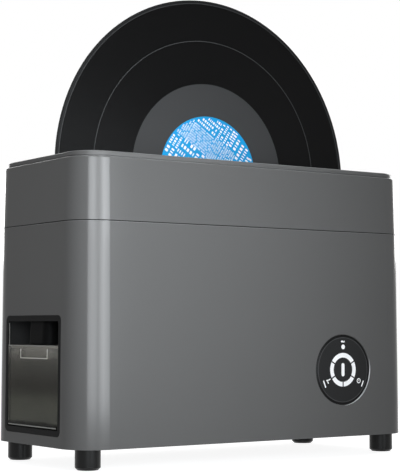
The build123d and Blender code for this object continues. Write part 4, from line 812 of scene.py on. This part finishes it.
# ------------------------------------------------------------------ print on the labels
LABEL_TILT = 33.0               # degrees that the print is turned down to the right
LABEL_MARGIN = 0.8              # millimetres between the print and the label's edge
SPINDLE_CLEAR = 5.2             # millimetres round the record's middle that stay bare
BLOCK_SIZE = 24.0               # longest side of a block of print, in millimetres
BLOCK_CUT = (0.36, 0.64)        # where a block may be cut in two, as a share of its length
LINE_HEIGHTS = (2.1, 2.8, 3.8, 5.2)
LINE_FILL = 0.57                # share of a line's height that its strokes fill
LINE_INDENT = 0.4               # the rest are shares of a line's height as well
STROKE_WIDTHS = (0.20, 0.30, 0.42)
STROKE_GAP = 0.26
GROUP_GAP = 0.5                 # added between two groups of strokes
GROUP_STROKES = (2, 7)
GENERIC_SEED = 20


def split_blocks(draw, low_x, low_y, high_x, high_y):
    """Blocks that a rectangle is cut into, each no longer than BLOCK_SIZE."""
    width, height = high_x - low_x, high_y - low_y
    if max(width, height) <= BLOCK_SIZE:
        return [(low_x, low_y, high_x, high_y)]
    share = draw.uniform(*BLOCK_CUT)
    if width > height:
        middle = low_x + width * share
        halves = ((low_x, low_y, middle, high_y), (middle, low_y, high_x, high_y))
    else:
        middle = low_y + height * share
        halves = ((low_x, low_y, high_x, middle), (low_x, middle, high_x, high_y))
    return [block for half in halves for block in split_blocks(draw, *half)]


def stroke_line(draw, start, end, height):
    """Strokes along one line of a block: pairs of where each starts and ends."""
    strokes = []
    place = start + draw.uniform(0.0, height * LINE_INDENT)
    while True:
        for _ in range(draw.randint(*GROUP_STROKES)):
            width = height * draw.choice(STROKE_WIDTHS)
            if place + width > end:
                return strokes
            strokes.append((place, place + width))
            place += width + height * STROKE_GAP
        place += height * GROUP_GAP


def label_strokes(seed):
    """Blocks of plain strokes in lines, along or across, that fill the label's disc as a generic print."""
    draw = random.Random(seed)
    reach = label_radius / MM - LABEL_MARGIN
    outlines = []
    for low_x, low_y, high_x, high_y in split_blocks(draw, -reach, -reach, reach, reach):
        along_x = high_x - low_x > high_y - low_y
        first, last = (low_y, high_y) if along_x else (low_x, high_x)
        start, end = (low_x, high_x) if along_x else (low_y, high_y)
        pitch = draw.choice(LINE_HEIGHTS)
        middle = first + pitch / 2.0
        while middle < last:
            half = pitch * LINE_FILL / 2.0
            chord = math.sqrt(max(reach ** 2 - (abs(middle) + half) ** 2, 0.0))
            for near, far in stroke_line(draw, max(start, -chord), min(end, chord), pitch):
                outline = [
                    (near, middle - half), (far, middle - half), (far, middle + half), (near, middle + half),
                ]
                if not along_x:
                    outline = [(y, x) for x, y in reversed(outline)]
                if min(math.hypot(x, y) for x, y in outline) > SPINDLE_CLEAR:
                    outlines.append(outline)
            middle += pitch
    turn = -math.radians(LABEL_TILT)
    return [
        [(px * math.cos(turn) - py * math.sin(turn), px * math.sin(turn) + py * math.cos(turn))
         for px, py in outline]
        for outline in outlines
    ]


def make_label_print(side, name, seed):
    """Generic print on the label of one side of the record."""
    face_y = label_low.y if side < 0 else label_high.y

    def to_world(x, y, depth):
        along = face_y + side * (PRINT_DEPTH + PRINT_GAP + depth)
        return Vector((-side * x * MM, along, centre_of_record.z + y * MM))

    def build(work):
        for outline in label_strokes(seed):
            slab(work, outline, to_world, PRINT_DEPTH)
    mesh_object(name, build, "print_and_highlight_white", "record")


make_label_print(-1, "label_print_front", GENERIC_SEED)
make_label_print(1, "label_print_rear", GENERIC_SEED + 1)


# ------------------------------------------------------------------ stage
FLOOR_SIZE = 14.0
FLOOR_NEAR = 0.42               # metres from the machine's middle, where the shadow shows in full
FLOOR_FAR = 0.95                # where the floor has become plain white
FLOOR_SHARE = 0.35              # share of the near floor's white that is lit by the lamps
FLOOR_LIGHT = 0.3               # how brightly they light it, as a share of full white
FLOOR_BOUNCE = 0.22             # grey that the floor throws back on the machine
FLOOR_DRIFT = 0.01              # how far that grey varies
FLOOR_SEGMENTS = 8
WORLD_COLOUR = (0.93, 0.96, 1.0, 1.0)
WORLD_STRENGTH = 0.05
STRIP_DISTANCE = 0.6            # metres from the corner's middle
STRIP_TOP = 0.42
STRIP_DROP = 0.05               # how far below its own middle a strip aims
STRIP_COLOUR = (0.900, 0.950, 1.0)
CORNER = Vector((cad_box[0].x + HOUSING_CORNER, cad_box[0].y + HOUSING_CORNER, 0.0))


def seen_ray(tree):
    """1 for what the camera, a reflection or glass sees, else 0."""
    path = tree.nodes.new("ShaderNodeLightPath")
    seen = calculate(tree, "MAXIMUM", path.outputs["Is Camera Ray"], path.outputs["Is Glossy Ray"])
    return calculate(tree, "MAXIMUM", seen, path.outputs["Is Transmission Ray"])


def mix_shaders(tree, factor, first, second):
    """First shader where the factor is 0, second where it is 1."""
    node = tree.nodes.new("ShaderNodeMixShader")
    tree.links.new(factor, node.inputs["Fac"])
    tree.links.new(first.outputs[0], node.inputs[1])
    tree.links.new(second.outputs[0], node.inputs[2])
    return node


def make_floor_material():
    """White floor that keeps the machine's shadow near it and is plain white further out."""
    material = bpy.data.materials.new("floor_white")
    material.use_nodes = True
    tree = material.node_tree
    tree.nodes.clear()
    output = tree.nodes.new("ShaderNodeOutputMaterial")
    bounce = tree.nodes.new("ShaderNodeBsdfDiffuse")
    where = place_coordinates(tree)
    soft = noise(tree, where, 3.0)
    tree.links.new(blend_colours(tree, soft, grey(FLOOR_BOUNCE), grey(FLOOR_BOUNCE + FLOOR_DRIFT)),
                   bounce.inputs["Color"])
    lit = tree.nodes.new("ShaderNodeBsdfDiffuse")
    lit.inputs["Color"].default_value = rgba(grey(FLOOR_SHARE))
    glow = tree.nodes.new("ShaderNodeEmission")
    glow.inputs["Strength"].default_value = 1.0 - FLOOR_SHARE * FLOOR_LIGHT
    near = tree.nodes.new("ShaderNodeAddShader")
    tree.links.new(lit.outputs[0], near.inputs[0])
    tree.links.new(glow.outputs[0], near.inputs[1])
    plain = tree.nodes.new("ShaderNodeEmission")
    plain.inputs["Strength"].default_value = 1.0
    spread = tree.nodes.new("ShaderNodeMapRange")
    spread.interpolation_type = "SMOOTHSTEP"
    spread.inputs["From Min"].default_value = FLOOR_NEAR
    spread.inputs["From Max"].default_value = FLOOR_FAR
    tree.links.new(vector_math(tree, "LENGTH", where).outputs["Value"], spread.inputs["Value"])
    shown = mix_shaders(tree, spread.outputs["Result"], near, plain)
    mix = mix_shaders(tree, seen_ray(tree), bounce, shown)
    tree.links.new(mix.outputs[0], output.inputs["Surface"])
    return material


def make_stage():
    """Pale floor under the machine."""
    work = bmesh.new()
    bmesh.ops.create_grid(work, x_segments=FLOOR_SEGMENTS, y_segments=FLOOR_SEGMENTS,
                          size=FLOOR_SIZE / 2.0)
    mesh = bpy.data.meshes.new("floor")
    work.to_mesh(mesh)
    work.free()
    mesh.materials.append(make_floor_material())
    floor = bpy.data.objects.new("floor", mesh)
    bpy.context.scene.collection.objects.link(floor)


def make_world():
    """Pale even surroundings that are white where they are seen."""
    world = bpy.data.worlds.new("studio")
    bpy.context.scene.world = world
    world.use_nodes = True
    tree = world.node_tree
    tree.nodes.clear()
    output = tree.nodes.new("ShaderNodeOutputWorld")
    lit = tree.nodes.new("ShaderNodeBackground")
    lit.inputs["Color"].default_value = WORLD_COLOUR
    lit.inputs["Strength"].default_value = WORLD_STRENGTH
    seen = tree.nodes.new("ShaderNodeBackground")
    seen.inputs["Color"].default_value = (1.0, 1.0, 1.0, 1.0)
    seen.inputs["Strength"].default_value = 1.0
    mix = mix_shaders(tree, seen_ray(tree), lit, seen)
    tree.links.new(mix.outputs[0], output.inputs["Surface"])


def softbox(name, place, target, width, height, radiance, colour=(1.0, 1.0, 1.0), spread=None):
    """Rectangular lamp of a radiance along its axis, aimed at a target; a spread narrows its beam."""
    data = bpy.data.lights.new(name, "AREA")
    data.shape = "RECTANGLE"
    data.size = width
    data.size_y = height
    data.energy = radiance * math.pi * width * height
    if spread is not None:
        half = math.radians(spread) / 2.0
        data.spread = 2.0 * half
        data.energy *= (math.tan(half) - half) / math.tan(half)
    data.color = colour
    lamp = bpy.data.objects.new(name, data)
    bpy.context.scene.collection.objects.link(lamp)
    lamp.location = Vector(place)
    lamp.rotation_euler = (Vector(target) - Vector(place)).to_track_quat("-Z", "Y").to_euler()


def corner_strip(name, angle, width, foot, radiance, spread):
    """Upright softbox that the rounded front corner reflects, at an angle from the left end's normal."""
    turn = math.radians(angle)
    place = CORNER + Vector((-math.cos(turn), -math.sin(turn), 0.0)) * STRIP_DISTANCE
    place.z = (foot + STRIP_TOP) / 2.0
    softbox(name, place, (CORNER.x, CORNER.y, place.z - STRIP_DROP), width, STRIP_TOP - foot, radiance,
            STRIP_COLOUR, spread)


def make_lamps():
    """Four strips that draw the bright corner, with soft light from the top, behind and the right."""
    corner_strip("strip_left", angle=61.0, width=0.37, foot=0.01, radiance=9.9, spread=80.0)
    corner_strip("strip_front", angle=98.5, width=0.46, foot=0.01, radiance=13.7, spread=60.0)
    corner_strip("strip_high", angle=106.0, width=0.29, foot=0.22, radiance=5.0, spread=50.0)
    corner_strip("strip_high_left", angle=58.0, width=0.26, foot=0.24, radiance=4.0, spread=50.0)
    softbox("top", place=(0.1, 0.25, 2.4), target=(0.0, 0.0, 0.2), width=1.4, height=1.2, radiance=3.0)
    softbox("rear_fill", place=(0.7, 2.2, 0.9), target=(0.0, 0.0, 0.18), width=1.3, height=1.3, radiance=6.5)
    softbox("right_fill", place=(2.1, 0.9, 0.9), target=(0.0, 0.0, 0.18), width=1.3, height=1.3, radiance=6.0)


make_stage()
make_world()
make_lamps()
